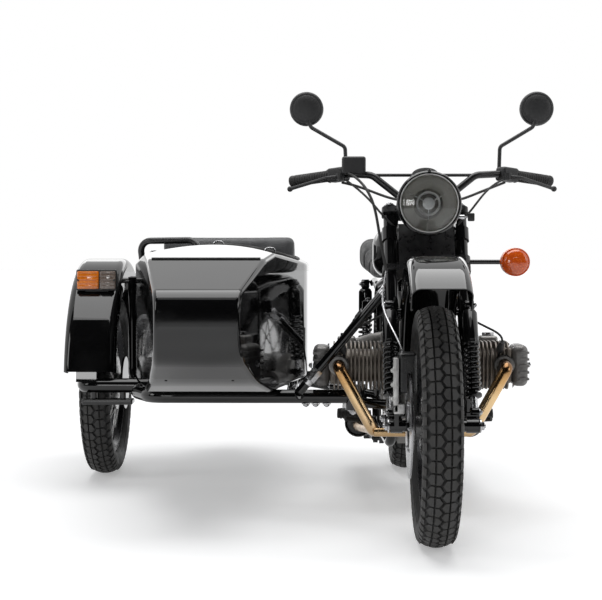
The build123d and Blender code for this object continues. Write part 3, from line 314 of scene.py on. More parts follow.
def coloured_lens(name, colour, deep):
    f = Finish(name, colour, 0.1, 0.0, Coat_Weight=0.5, Coat_Roughness=0.03)
    cell = f.cells(150, "F1")
    f.feed("Base Color", f.tint(f.between(cell, 0.0, 0.5, 0.0, 1.0), colour, deep))
    f.bump(cell, 0.25, 0.0008)
    return f.material


def signal_cup():
    """Amber cup on a black stalk, told apart by their place across."""
    f = Finish("amber cup and black stalk", (0.62, 0.115, 0.012), 0.25)
    cup = f.axis("X") > place(221, 0, 0).x
    amber = f.tint(f.noise(160, 3), (0.85, 0.16, 0.015), (0.60, 0.085, 0.008))
    f.feed("Base Color", f.tint(cup, (0.009, 0.009, 0.0095), amber))
    f.roughen(120, 3, 0.16, 0.34)
    return f.material


def clear_glass():
    """Headlamp glass: see-through, with the fluting pressed in it."""
    f = Finish("fluted lamp glass", (0.93, 0.95, 0.96), 0.03, 0.0, Transmission_Weight=1.0, IOR=1.32)
    inputs = {"Vector": f.where(), "Scale": 26.0, "Distortion": 0.0}
    flute = f.node("TexWave", {"bands_direction": "X"}, inputs, 1)
    f.bump(flute, 0.06, 0.001)
    return f.material


def silvered():
    f = Finish("silvered reflector", (0.78, 0.76, 0.72), 0.3, 1.0)
    f.roughen(30, 3, 0.14, 0.26)
    f.bump(f.cells(70, "F1"), 0.2, 0.002)
    return f.material


def looking_glass():
    f = Finish("mirror glass", (0.75, 0.77, 0.78), 0.02, 1.0)
    f.feed("Roughness", f.between(f.noise(12, 3), 0.4, 0.8, 0.015, 0.06))
    return f.material


def dial_face():
    """Black plate behind the dial's marks."""
    f = Finish("dial face", (0.015, 0.015, 0.015), 0.4)
    f.feed("Base Color", f.tint(f.noise(200, 2), (0.010, 0.010, 0.010), (0.022, 0.022, 0.022)))
    return f.material


def pale_paint():
    f = Finish("pale marking paint", (0.8, 0.8, 0.76), 0.5)
    f.feed("Base Color", f.tint(f.noise(300, 2), (0.82, 0.82, 0.78), (0.70, 0.70, 0.66)))
    return f.material


def carpet():
    f = Finish("cockpit carpet", (0.02, 0.02, 0.021), 0.95, 0.0, Sheen_Weight=0.3)
    pile = f.noise(1400, 4)
    f.feed("Base Color", f.tint(pile, (0.010, 0.010, 0.011), (0.035, 0.035, 0.036)))
    f.bump(pile, 0.5, 0.0015)
    return f.material


GLOSS = gloss_black()
SATIN = satin_black()
MATTE = matte_plastic()
TYRE = rubber("tyre rubber", (0.008, 0.008, 0.008), (0.020, 0.0195, 0.0185))
TREAD = rubber("worn tread rubber", (0.026, 0.0255, 0.025), (0.046, 0.044, 0.041))
RUBBER = rubber("moulded rubber", (0.010, 0.010, 0.010), (0.028, 0.027, 0.026))
FRONT_WHEEL = wheel_metal("front wheel metal", FRONT_AXLE, 0.0665)
REAR_WHEEL = wheel_metal("rear wheel metal", REAR_AXLE, 0.1005)
SIDE_WHEEL = wheel_metal("sidecar wheel metal", SIDE_AXLE, 0.1005)
DISC = ground_steel()
STEEL = steel("bright steel")
DARK_STEEL = steel("dark plated steel", (0.16, 0.155, 0.15), (0.25, 0.45))
ALLOY = cast_alloy("cast engine alloy", (0.33, 0.325, 0.315), (0.255, 0.245, 0.235))
FINS = cast_alloy("warm fin alloy", (0.21, 0.185, 0.16), (0.10, 0.08, 0.066), 500)
BRACKET = cast_alloy("zinc plated bracket", (0.58, 0.58, 0.57), (0.40, 0.39, 0.38), 900)
COVER = cast_alloy("rocker cover alloy", (0.20, 0.195, 0.19), (0.10, 0.095, 0.09), 900)
PIPE = heated_pipe()
SEAT = leather("black seat cover", (0.014, 0.014, 0.0145), (0.024, 0.024, 0.025))
GREY_SEAT = leather("charcoal seat cover", (0.045, 0.046, 0.048), (0.065, 0.066, 0.068))
SIGNAL_CUP = signal_cup()
GLASS = clear_glass()
SILVER = silvered()
MIRROR = looking_glass()
AMBER = coloured_lens("amber lens", (0.88, 0.17, 0.015), (0.62, 0.085, 0.008))
ORANGE = coloured_lens("orange lens", (0.86, 0.30, 0.02), (0.70, 0.17, 0.01))
RED = coloured_lens("red lens", (0.30, 0.008, 0.008), (0.16, 0.004, 0.004))
SMOKED_LENS = coloured_lens("smoked clear lens", (0.27, 0.215, 0.175), (0.15, 0.115, 0.095))
DIAL = dial_face()
PALE = pale_paint()
CARPET = carpet()


# Shapes

def mesh_object(name, bm, material):
    """Object in one finish, made from a built mesh."""
    mesh = bpy.data.meshes.new(name)
    bm.to_mesh(mesh)
    bm.free()
    mesh.materials.append(material)
    made = bpy.data.objects.new(name, mesh)
    bpy.context.scene.collection.objects.link(made)
    return made


def piece(name, bm, material, body, *replaced, soft=35):
    """Turns a built mesh into a piece that moves with a body and may stand for exact parts."""
    bmesh.ops.remove_doubles(bm, verts=bm.verts, dist=1e-6)
    bmesh.ops.recalc_face_normals(bm, faces=bm.faces)
    made = mesh_object(name, bm, material)
    made.data.polygons.foreach_set("use_smooth", [True] * len(made.data.polygons))
    made.data.set_sharp_from_angle(angle=math.radians(soft))
    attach(made, body)
    if replaced:
        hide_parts(*replaced)
    return made


def lathe(bm, profile, centre, axis=LEFT, steps=48):
    """Turns points of (along, radius) in millimetres about an axis through a centre."""
    way = Vector(axis).normalized()
    side = way.orthogonal().normalized()
    verts = [bm.verts.new(centre + (way * along + side * radius) / 1000) for along, radius in profile]
    edges = [bm.edges.new(pair) for pair in zip(verts, verts[1:])]
    bmesh.ops.spin(
        bm, geom=verts + edges, cent=centre, axis=way, angle=math.tau, steps=steps, use_merge=True,
    )


def aim(centre, axis):
    """Matrix that stands a shape built along z at a centre, along an axis."""
    turn = Vector(UP).rotation_difference(Vector(axis))
    return Matrix.Translation(centre) @ turn.to_matrix().to_4x4()


def round_edges(bm, edges, offset):
    """Rounds edges by an offset in millimetres."""
    bmesh.ops.bevel(
        bm, geom=edges, offset=offset / 1000, segments=2, profile=0.5, affect="EDGES", material=-1,
    )


def slug(bm, centre, axis, size, height, sides=24, round_off=0.0):
    """Solid prism or cylinder that stands on its centre along an axis; sizes in millimetres."""
    start = aim(centre, axis) @ Matrix.Translation((0, 0, height / 2000))
    made = bmesh.ops.create_cone(
        bm, cap_ends=True, segments=sides, radius1=size / 1000, radius2=size / 1000,
        depth=height / 1000, matrix=start,
    )
    if round_off:
        edges = {e for v in made["verts"] for e in v.link_edges}
        round_edges(bm, [e for e in edges if sum(len(f.verts) > 4 for f in e.link_faces) == 1], round_off)


def bolt(bm, centre, axis, size):
    """Washer, hexagon head and the thread end on it."""
    way = Vector(axis).normalized()
    slug(bm, centre, way, size * 1.5, size * 0.25, 20)
    slug(bm, centre + way * size * 0.00025, way, size, size * 0.7, 6, size * 0.12)
    slug(bm, centre + way * size * 0.00095, way, size * 0.5, size * 0.3, 12, size * 0.1)


def brick(bm, low, high, round_off=2.0):
    """Box between two corners with rounded edges."""
    low, high = place(*low), place(*high)
    middle, span = (low + high) / 2, high - low
    stretch = Matrix.Translation(middle) @ Matrix.Diagonal((*span, 1.0))
    made = bmesh.ops.create_cube(bm, size=1.0, matrix=stretch)
    round_edges(bm, list({e for v in made["verts"] for e in v.link_edges}), round_off)


def skin(part):
    """Surface of an exact part, to land small pieces on."""
    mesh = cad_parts[part].data
    return BVHTree.FromPolygons([v.co for v in mesh.vertices], [p.vertices for p in mesh.polygons])


def strand(name, points, radius, material, body, sides=3):
    """Round wire or hose through points."""
    data = bpy.data.curves.new(name, "CURVE")
    data.dimensions = "3D"
    data.bevel_depth = radius / 1000
    data.bevel_resolution = sides
    data.use_fill_caps = True
    line = data.splines.new("NURBS")
    line.points.add(len(points) - 1)
    for spot, point in zip(line.points, points):
        spot.co = (*point, 1.0)
    line.order_u = min(4, len(points))
    line.use_endpoint_u = True
    line.resolution_u = 6
    raw = bpy.data.objects.new(name, data)
    mesh = bpy.data.meshes.new_from_object(raw)
    bpy.data.objects.remove(raw)
    bm = bmesh.new()
    bm.from_mesh(mesh)
    bpy.data.meshes.remove(mesh)
    return piece(name, bm, material, body)


def coil(bm, foot, top, radius, wire, turns):
    """Helical spring between two points: a ring of wire screwed along the axis."""
    way = (top - foot).normalized()
    out = way.orthogonal().normalized()
    steps = int(turns * 18)
    ring = bmesh.ops.create_circle(
        bm, segments=10, radius=wire / 1000, matrix=aim(foot + out * radius / 1000, way.cross(out)),
    )["verts"]
    edges = list({e for v in ring for e in v.link_edges})
    bmesh.ops.spin(
        bm, geom=ring + edges, cent=foot, axis=way, dvec=(top - foot) / steps,
        angle=math.tau * turns, steps=steps,
    )


# Wheels

# Tyre profiles are (across, radius) points, tread blocks (across, along) points
BLOCKS_ROUND = 60
TREAD_CROWN, TREAD_TOP, TREAD_DEPTH = 75, 336.8, 8
TREAD_ROW = 20.5
HALF_BLOCK = [(1.2, -16.2), (12.5, -16.2), (23, 0), (12.5, 16.2), (1.2, 16.2)]
BLOCK_MIDDLE, BLOCK_TAPER = 10, 0.94
LUG_SIDE = [(44.5, 325.6), (51.3, 316.5), (53.6, 307), (52.2, 306), (49.0, 313), (43.0, 319.5)]
LUG_HALF = 10.5
CASING_TOP = 328.4
CASING_HALF = [
    (26.5, 244.5), (27.0, 254.4), (34, 256.5), (42.5, 263), (44, 265), (47, 270), (48.8, 271),
    (52.5, 283), (53.6, 292), (53.2, 300), (53.6, 302), (52.8, 304), (50.4, 310), (47.5, 315.5),
    (44.0, 318.0), (35, 321.8), (25, 325.2), (12, 327.8),
]


def crown_point(hub, across, along, depth):
    """Point on the tyre's rounded crown, or a depth below it; sizes in millimetres."""
    tilt = math.asin(across / TREAD_CROWN)
    reach = TREAD_TOP - TREAD_CROWN * (1 - math.cos(tilt))
    flat = Vector((across - depth * math.sin(tilt), 0, reach - depth * math.cos(tilt)))
    return hub + Matrix.Rotation(along / TREAD_TOP, 3, "X") @ (flat / 1000)


def repeat_round(bm, hub, verts):
    """Copies a block round the tyre."""
    edges = {e for v in verts for e in v.link_edges}
    faces = {f for v in verts for f in v.link_faces}
    copies = BLOCKS_ROUND - 1
    bmesh.ops.spin(
        bm, geom=[*verts, *edges, *faces], cent=hub, axis=LEFT, angle=math.tau * copies / BLOCKS_ROUND,
        steps=copies, use_duplicate=True,
    )


def new_verts(geom):
    """The vertices among what an operator made."""
    return [v for v in geom if isinstance(v, bmesh.types.BMVert)]


def half_block(bm, hub, side, outward, start):
    """Half a pointed tread block, split from its other half by a fine groove."""
    corners = [(side * (TREAD_ROW + outward * across), along + start) for across, along in HALF_BLOCK]
    base = [bm.verts.new(crown_point(hub, *corner, TREAD_DEPTH)) for corner in corners]
    top = new_verts(bmesh.ops.extrude_face_region(bm, geom=[bm.faces.new(base)])["geom"])
    middle = side * (TREAD_ROW + outward * BLOCK_MIDDLE)
    lift = crown_point(hub, middle, start, 0) - crown_point(hub, middle, start, TREAD_DEPTH)
    bmesh.ops.translate(bm, verts=top, vec=lift)
    centre = sum((v.co for v in top), Vector()) / len(top)
    bmesh.ops.scale(bm, verts=top, vec=[BLOCK_TAPER] * 3, space=Matrix.Translation(-centre))
    repeat_round(bm, hub, base + top)


def shoulder_lug(bm, hub, side, start):
    """Lug that wraps over the tread's edge onto the sidewall."""
    base = [bm.verts.new(hub + Vector((side * x, LUG_HALF, r)) / 1000) for x, r in LUG_SIDE]
    far = new_verts(bmesh.ops.extrude_face_region(bm, geom=[bm.faces.new(base)])["geom"])
    bmesh.ops.translate(bm, verts=far, vec=(0, -2 * LUG_HALF / 1000, 0))
    bmesh.ops.rotate(bm, verts=base + far, cent=hub, matrix=Matrix.Rotation(start / TREAD_TOP, 3, "X"))
    repeat_round(bm, hub, base + far)


def tyre(name, axle, body):
    hub = place(*axle)
    half = [(-x, r) for x, r in CASING_HALF]
    profile = half + [(0, CASING_TOP)] + CASING_HALF[::-1] + half[:1]
    casing, tread = bmesh.new(), bmesh.new()
    lathe(casing, profile, hub, steps=132)
    piece(f"{name}_casing", casing, TYRE, body, name, soft=28)
    pitch = math.tau * TREAD_TOP / BLOCKS_ROUND
    for side in (-1, 1):
        start = pitch / 2 if side > 0 else 0
        for outward in (-1, 1):
            half_block(tread, hub, side, outward, start)
        shoulder_lug(tread, hub, side, start + pitch / 2)
    piece(f"{name}_tread", tread, TREAD, body, soft=20)


def tyres():
    for name, axle in (("front", FRONT_AXLE), ("rear", REAR_AXLE), ("sidecar", SIDE_AXLE)):
        tyre(f"{name}_tyre", axle, f"{name}_wheel")


# Springs and dampers

DAMPERS = [
    # name, foot, top, radius, both sides, body, part it stands for
    ("front", (117, 45, 370), (117, 205, 668), 24, True, "steering", "front_shocks"),
    ("rear", (152, 1440, 367), (152, 1390, 706), 27, True, "chassis", "rear_shocks"),
    ("sidecar", (-1000, 1292, 371), (-1000, 1242, 722), 25, False, "chassis", "sidecar_shock"),
]


def dampers():
    for name, foot, top, radius, paired, body, part in DAMPERS:
        springs, covers, rods = bmesh.new(), bmesh.new(), bmesh.new()
        for side in (1, -1) if paired else (1,):
            low, high = place(side * foot[0], *foot[1:]), place(side * top[0], *top[1:])
            one_damper(springs, covers, rods, low, high, radius, side)
        piece(f"{name}_springs", springs, GLOSS, body, part)
        piece(f"{name}_damper_covers", covers, GLOSS, body)
        piece(f"{name}_damper_rods", rods, STEEL, body)


def one_damper(springs, covers, rods, low, high, radius, side):
    """Eyes, rod, spring seat and upper cover between two bolts, with the coil between seat and cover."""
    way = (high - low).normalized()
    length = (high - low).length * 1000
    eye, wire, cover = radius * 0.6, radius * 0.2, length * 0.34
    seat, end, neck = eye + 0.12 * length, length - cover - eye, length - eye
    turns = round((end - seat) / (wire * 3.4))
    foot, top = low + way * (seat + wire) / 1000, low + way * (end - wire) / 1000
    coil(springs, foot, top, radius - wire, wire, turns)
    lathe(covers, [
        (end, 0), (end, radius - 3), (end + 3, radius), (end + 9, radius), (end + 11, radius - 2),
        (neck - 14, radius - 2), (neck - 4, radius - 7), (neck, radius - 14), (neck, 0),
    ], low, way)
    body = 0.55 * radius
    lathe(covers, [
        (seat - 9, 0), (seat - 9, radius - 8), (seat - 5, radius), (seat, radius), (seat, body),
        (seat + 60, body), (seat + 60, 0),
    ], low, way)
    rod = 0.42 * radius
    lathe(rods, [(eye * 0.5, 0), (eye * 0.5, rod), (end + 4, rod), (end + 4, 0)], low, way, 24)
    for centre in (low, high):
        slug(covers, centre - Vector(LEFT) * radius * 0.00055, LEFT, eye, radius * 1.1, 28, 2)
        bolt(rods, centre + Vector((side * radius * 0.00056, 0, 0)), (side, 0, 0), eye * 0.5)


# Lamps, mirrors and dial

# Lathe profiles are (along, radius) points, back from the face of the lamp, mirror or dial
LAMP_FACE = (0, 218, 967)
BOWL_RADIUS, BOWL_CENTRE, BOWL_WALL, BOWL_END = 88.8, 28.8, 1.2, 58.5
BOWL_DEPTHS = [1, 4, 8, 14, 20, 27, 34, 41, 47, 52, 56, 58.4]
GLASS_REACH, GLASS_BULGE, GLASS_THICK = 83.7, 13, 3
LAMP_RIM = [
    (-1, 84.3), (-4.5, 85.5), (-6.2, 88), (-6.0, 91), (-3.5, 94), (2, 95.6), (9, 95.6), (12, 94.6),
    (12, 93.1), (-1, 92.6), (-1, 84.3),
]
BRIGHT_RING = [(-4.6, 83.2), (-6.6, 84.4), (-6.7, 86.4), (-5, 87), (-4, 85), (-4.6, 83.2)]
BULB = [(58, 0), (58, 11), (50, 11), (48, 7), (40, 8.5), (32, 9), (25, 7.5), (21, 4), (20, 0)]
BULB_CAP = [(17, 0), (16, 11), (18, 17), (24, 18.5), (25, 18), (19, 16), (17.6, 10), (17.6, 0)]
BULB_RING = [(40, 29), (31, 31), (29, 34), (32, 36.5), (42, 35), (40, 29)]
BULB_ARM_TURNS = (-1.57, 0.52, 2.62)


def headlamp():
    face = place(*LAMP_FACE)
    bowl, glass, rim, thin = bmesh.new(), bmesh.new(), bmesh.new(), bmesh.new()
    profile = [(d, math.sqrt(BOWL_RADIUS ** 2 - (d + BOWL_CENTRE) ** 2) - BOWL_WALL) for d in BOWL_DEPTHS]
    lathe(bowl, [(d, max(r, 0)) for d, r in profile] + [(BOWL_END, 0)], face, BACK, 64)
    piece("headlamp_reflector", bowl, SILVER, "steering")
    ball = (GLASS_REACH ** 2 + GLASS_BULGE ** 2) / (2 * GLASS_BULGE)
    radii = [GLASS_REACH * i / 12 for i in range(13)]
    dome = [(ball - GLASS_BULGE - math.sqrt(ball ** 2 - r ** 2), r) for r in radii]
    lathe(glass, dome + [(depth + GLASS_THICK, r) for depth, r in reversed(dome)], face, BACK, 72)
    piece("headlamp_glass", glass, GLASS, "steering", "headlight_lens")
    lathe(rim, LAMP_RIM, face, BACK, 72)
    slug(rim, face + Vector((0, -4, 92)) / 1000, UP, 5, 7, 12, 1)
    piece("headlamp_rim", rim, GLOSS, "steering")
    lathe(thin, BRIGHT_RING, face, BACK, 72)
    piece("headlamp_bright_ring", thin, BRACKET, "steering")
    headlamp_bulb(face)


def headlamp_bulb(face):
    """Bulb in the bowl, with the cap in front of it and the ring that three arms hold."""
    bulb = bmesh.new()
    for profile, steps in ((BULB, 28), (BULB_CAP, 32), (BULB_RING, 40)):
        lathe(bulb, profile, face, BACK, steps)
    for turn in BULB_ARM_TURNS:
        arm = Vector((math.cos(turn), 0, math.sin(turn)))
        slug(bulb, face + Vector((0, 0.0235, 0)) + arm * 0.0175, Vector(BACK) * 0.6 + arm, 1.6, 34, 8)
    piece("headlamp_bulb", bulb, BRACKET, "steering")


MIRROR_FACE, MIRROR_SOCKET = (364, 562, 1277.2), (358, 553, 1226)
MIRROR_BACK = [
    (-20.5, 0), (-20.0, 14), (-18.4, 27), (-15.6, 38), (-11.5, 46), (-6, 51.6), (2, 53.6), (10, 53.8),
    (13.6, 52.6), (13.6, 49.5), (11, 49.2),
]
MIRROR_GLASS = [(13.15, 49.4), (13.3, 30), (13.4, 0)]


def on_side(side, x, y, z):
    """Point of a place on the left, or of its mirror image where the side is -1."""
    return place(side * x, y, z)


def mirrors():
    domes, glasses = bmesh.new(), bmesh.new()
    for side in (1, -1):
        centre = on_side(side, *MIRROR_FACE)
        lathe(domes, MIRROR_BACK, centre, BACK, 56)
        lathe(glasses, MIRROR_GLASS, centre, BACK, 56)
        slug(domes, on_side(side, *MIRROR_SOCKET), UP, 9, 14, 20, 3)
    piece("mirror_backs", domes, MATTE, "steering")
    piece("mirror_glasses", glasses, MIRROR, "steering")


INDICATOR = (265, 327.3, 794)
INDICATOR_TIP = -44.8
INDICATOR_LENS = [
    (-27, 38.6), (-31, 38.2), (-36, 35.5), (-40, 30), (-43, 21), (-44.4, 11), (INDICATOR_TIP, 0),
]
INDICATOR_RING = [(-20, 42), (-28.5, 42.6), (-30, 41), (-29, 38.4), (-24, 38.2)]
INDICATOR_BACK = [(27, 0), (27, 24), (22, 33), (16, 38)]


def front_indicator():
    centre = place(*INDICATOR)
    lens, ring = bmesh.new(), bmesh.new()
    lathe(lens, INDICATOR_LENS, centre, BACK)
    for radius in (14, 22, 30):
        depth = INDICATOR_TIP + radius ** 2 / 150
        ridge = [(depth + 1, radius - 2.4), (depth - 0.9, radius), (depth + 2, radius + 2.4)]
        lathe(lens, ridge, centre, BACK)
    piece("front_indicator_lens", lens, AMBER, "steering")
    lathe(ring, INDICATOR_RING, centre, BACK)
    lathe(ring, INDICATOR_BACK, centre, BACK)
    piece("front_indicator_ring", ring, AMBER, "steering")


SIDE_LAMP_LENSES = [
    # name, finish, right and left ends from the wheel's middle
    ("amber", ORANGE, -57, 20),
    ("clear", SMOKED_LENS, 23, 79),
]
SIDE_LAMP_LOW, SIDE_LAMP_HIGH = 694, 757
SIDE_LAMP_RIBS, SIDE_LAMP_PITCH = 5, 11.7


def sidecar_lamps():
    x, y = SIDE_AXLE[0], SIDE_AXLE[1] - 318
    for name, finish, right, left in SIDE_LAMP_LENSES:
        lens = bmesh.new()
        brick(lens, (x + right, y, SIDE_LAMP_LOW), (x + left, y + 12, SIDE_LAMP_HIGH), 5)
        for i in range(SIDE_LAMP_RIBS):
            z = SIDE_LAMP_LOW + 8 + i * SIDE_LAMP_PITCH
            brick(lens, (x + right + 4, y - 1.6, z), (x + left - 4, y + 4, z + 7), 1.6)
        piece(f"sidecar_lamp_{name}", lens, finish, "chassis")
    shell = bmesh.new()
    brick(shell, (x - 61, y + 7, SIDE_LAMP_LOW - 6), (x + 83, y + 22, SIDE_LAMP_HIGH + 6), 6)
    for across in (-52, 74):
        bolt(shell, place(x + across, y, 726), AHEAD, 2.6)
    piece("sidecar_lamp_shell", shell, MATTE, "chassis")


TAIL_LENSES = [
    # middle of the lens, half width, half height
    ((0, 1857.3, 588.2), 43, 30),
    ((SIDE_AXLE[0], 1744.6, 627.1), 45, 26),
]


def tail_lenses():
    lens = bmesh.new()
    for (x, y, z), half, tall in TAIL_LENSES:
        brick(lens, (x - half, y - 3, z - tall + 2), (x + half, y + 8, z + tall), 5)
        for i in range(4):
            low = z - tall + 8 + i * (2 * tall - 10) / 4
            brick(lens, (x - half + 5, y + 5, low), (x + half - 5, y + 10.5, low + tall * 0.3), 2)
    piece("tail_lenses", lens, RED, "chassis")


DIAL_RING = [(-6, 41.4), (2, 41.6), (4.5, 39.6), (4.2, 37), (0.4, 36.4)]
MARKS, MARK_FIRST, MARK_STEP = 13, -120, 20
NEEDLE_TURN = 2.0


def dial():
    axis = Vector(STEM)
    top = fork_place(0, -70, 1152)
    plate, ring, marks = bmesh.new(), bmesh.new(), bmesh.new()
    lathe(plate, [(0.4, 0), (0.4, 37)], top, axis)
    piece("dial_plate", plate, DIAL, "steering")
    lathe(ring, DIAL_RING, top, axis, 56)
    piece("dial_ring", ring, MATTE, "steering")
    flat = aim(top + axis * 0.0007, axis)
    for i in range(MARKS):
        turn = Matrix.Rotation(math.radians(MARK_FIRST + MARK_STEP * i), 4, "Z")
        size = Matrix.Diagonal((0.0012 if i % 3 else 0.0022, 0.0075, 0.0004, 1))
        bmesh.ops.create_cube(marks, size=1, matrix=flat @ turn @ Matrix.Translation((0, 0.030, 0)) @ size)
    stand = flat @ Matrix.Rotation(NEEDLE_TURN, 4, "Z") @ Matrix.Translation((0, 0.011, 0.0012))
    bmesh.ops.create_cone(
        marks, cap_ends=True, segments=4, radius1=0.0016, radius2=0.0004, depth=0.030,
        matrix=stand @ Matrix.Rotation(-math.pi / 2, 4, "X"),
    )
    piece("dial_marks", marks, PALE, "steering")


# Rider's controls

BAR_BEND, BAR_END = Vector((245, 490, 1068)), Vector((410, 590, 1050))


def bar_point(distance):
    """Place on the handlebar's outer straight, millimetres in from its end."""
    return BAR_END - (BAR_END - BAR_BEND).normalized() * distance


def ribs(count, first, pitch, groove, crest, slope, width):
    """Lathe profile of equal ribs: grooves and crests as radii, slope and width along the axis."""
    profile = []
    for i in range(count):
        start = first + i * pitch
        profile += [
            (start, groove), (start + slope, crest), (start + slope + width, crest),
            (start + 2 * slope + width, groove),
        ]
    return profile


def grips():
    rubber_grips = bmesh.new()
    profile = [(-142, 12), (-142, 21), (-139, 22), (-136, 21), (-135, 17.5)]
    profile += ribs(13, -131, 9.2, 16.6, 18.1, 1.2, 5.0)
    profile += [(-8, 17.6), (-2, 18.2), (3, 17), (5, 12), (5, 0)]
    for side in (1, -1):
        end, inner = on_side(side, *bar_point(0)), on_side(side, *bar_point(100))
        lathe(rubber_grips, profile, end, end - inner, 32)
    piece("ribbed_grips", rubber_grips, RUBBER, "steering", "grips")


CABLES = [
    # name, radius, finish, points
    ("brake_hose", 4.2, RUBBER, [
        (-232, 438, 1066), (-205, 372, 1050), (-168, 320, 1000), (-150, 296, 930), (-140, 282, 850),
        (-124, 250, 768),
    ]),
    ("brake_line", 3.4, STEEL, [
        (-124, 250, 768), (-134, 222, 716), (-140, 196, 672), (-128, 160, 634), (-104, 104, 586),
        (-86, 66, 548), (-82, 50, 520),
    ]),
    ("throttle_cable", 3.4, RUBBER, [
        (-240, 452, 1046), (-196, 400, 1012), (-150, 372, 962), (-118, 366, 918), (-70, 372, 880),
    ]),
    ("clutch_cable", 3.4, RUBBER, [
        (246, 452, 1048), (204, 396, 1030), (160, 360, 984), (124, 356, 930), (72, 370, 884),
    ]),
    ("switch_wires", 4.0, RUBBER, [
        (252, 470, 1040), (206, 420, 1022), (150, 384, 1000), (96, 352, 978), (52, 326, 974),
    ]),
    ("lamp_wires", 4.0, RUBBER, [
        (-252, 472, 1040), (-210, 430, 1030), (-150, 402, 1004), (-96, 356, 982), (-52, 326, 976),
    ]),
]


def cables():
    for name, radius, material, points in CABLES:
        strand(name, [place(*p) for p in points], radius, material, "steering")


def caliper_bracket():
    plate = bmesh.new()
    outer, front = -114.4, -24
    brick(plate, (outer, front, 376), (-101, 32, 527), 3)
    brick(plate, (outer, front, 372), (-84, 10, 400), 3)
    for z in (412, 452, 492):
        bolt(plate, place(outer, 4, z), RIGHT, 6.5)
        bolt(plate, place(-107.5, front, z), AHEAD, 4)
    piece("caliper_bracket", plate, BRACKET, "steering")


KEY_Y, KEY_Z = 247, 927


def ignition_key():
    barrel, bow = bmesh.new(), bmesh.new()
    slug(barrel, place(82, KEY_Y, KEY_Z), LEFT, 7, 24, 20, 1)
    slug(barrel, place(104, KEY_Y, KEY_Z), LEFT, 2.6, 18, 8)
    piece("ignition_barrel", barrel, STEEL, "steering")
    brick(bow, (116, KEY_Y - 5, KEY_Z - 12), (136, KEY_Y + 5, KEY_Z + 12), 3)
    piece("ignition_key", bow, MATTE, "steering")


PEG_INNER, PEG_OUTER = (150, 846, 274), (262, 838, 280)


def foot_rubbers():
    rubbers = bmesh.new()
    profile = [(20, 14), (20, 18)] + ribs(8, 23, 10.4, 16.0, 18.4, 1.4, 6.0)
    profile += [(108, 18), (113, 15), (114, 0)]
    for side in (1, -1):
        start, end = on_side(side, *PEG_INNER), on_side(side, *PEG_OUTER)
        lathe(rubbers, profile, start, end - start, 24)
    piece("foot_rest_rubbers", rubbers, RUBBER, "chassis")


# Engine fittings

CRANK_Y, CRANK_Z, STAGGER = 600, 462, 18
FRONT_COVER_Y, FRONT_COVER_Z, FRONT_COVER_RADIUS = 527.2, 442, 77
ROCKER_NUT_X, ROCKER_SCREW_X, ROCKER_SCREWS_Y, ROCKER_SCREWS_Z = 346.5, 290.6, (-63, 63), (-62, 62)
PORT_X, PORT_AHEAD, PORT_Z = 262, 92, 468
PORT_COLLAR = [(-18, 19.5), (-18, 30)] + ribs(3, -16, 7, 26, 31.5, 1, 3.5) + [(6, 27), (6, 19.5)]
MUFFLER_X, MUFFLER_Z, MUFFLER_BANDS = 190, 238, (908, 1446)
BAND = [(-9, 45.1), (-9, 46.8), (9, 46.8), (9, 45.1)]
CARBURETTOR_X, CARBURETTOR_BEHIND = 234, 130
INTAKE_CLAMP = [(0, 22), (0, 27.4), (5, 28), (14, 28), (19, 27.4), (19, 22)]
PLUG_CAP = [(-6, 0), (-6, 8), (10, 8.5), (12, 11), (30, 11), (34, 9), (46, 7.5), (48, 0)]


def spark_lead(caps, side, y):
    """Cap on a spark plug and the lead that runs from it to a place under the tank."""
    plug = Vector((side * 246, y - 68, 505))
    way = Vector((side * 0.16, -0.62, 0.77))
    lathe(caps, PLUG_CAP, place(*plug), way, 24)
    route = [
        plug + way * 44, plug + way * 70 + Vector((0, 8, 4)), (side * 204, y - 98, 586),
        (side * 140, y - 66, 622), (side * 70, y - 30, 640), (side * 36, 585, 618),
    ]
    name = "spark_lead_left" if side > 0 else "spark_lead_right"
    strand(name, [place(*p) for p in route], 3.6, RUBBER, "chassis")


def engine_fittings():
    bolts, collars, caps = bmesh.new(), bmesh.new(), bmesh.new()
    for i in range(8):
        turn = math.tau * (i + 0.5) / 8
        x, z = FRONT_COVER_RADIUS * math.cos(turn), FRONT_COVER_RADIUS * math.sin(turn)
        bolt(bolts, place(x, FRONT_COVER_Y, FRONT_COVER_Z + z), AHEAD, 5)
    for side in (1, -1):
        y = CRANK_Y + side * STAGGER
        outward = (side, 0, 0)
        bolt(bolts, place(side * ROCKER_NUT_X, y, CRANK_Z), outward, 9)
        for behind in ROCKER_SCREWS_Y:
            for rise in ROCKER_SCREWS_Z:
                bolt(bolts, place(side * ROCKER_SCREW_X, y + behind, CRANK_Z + rise), outward, 5)
        lathe(collars, PORT_COLLAR, place(side * PORT_X, y - PORT_AHEAD, PORT_Z), AHEAD, 36)
        for band in MUFFLER_BANDS:
            lathe(collars, BAND, place(side * MUFFLER_X, band, MUFFLER_Z), BACK)
        spark_lead(caps, side, y)
        lathe(collars, INTAKE_CLAMP, place(side * 228, y + 144, 501), Vector((side * -48, 84, 22)), 32)
        slug(bolts, place(side * CARBURETTOR_X, y + CARBURETTOR_BEHIND, 544), UP, 20, 16, 32, 4)
        slug(bolts, place(side * CARBURETTOR_X, y + CARBURETTOR_BEHIND, 436), DOWN, 18, 10, 6, 3)
    piece("engine_bolts", bolts, STEEL, "chassis")
    piece("exhaust_collars", collars, DARK_STEEL, "chassis")
    piece("spark_plug_caps", caps, MATTE, "chassis")


CAST_RAISED = [
    # inner and outer face, front and rear ends, bottom and top, edge round-off
    (91, 99, 838, 1004, 300, 468, 7),
    (110, 118, 787, 803, 300, 556, 3),
    (111, 115.5, 575, 782, 300, 307, 2),
    (111, 115.5, 575, 782, 324, 331, 2),
]
GEARBOX_BOSS = [(0, 52), (5, 51), (8, 47), (8, 31), (5, 28), (5, 0)]


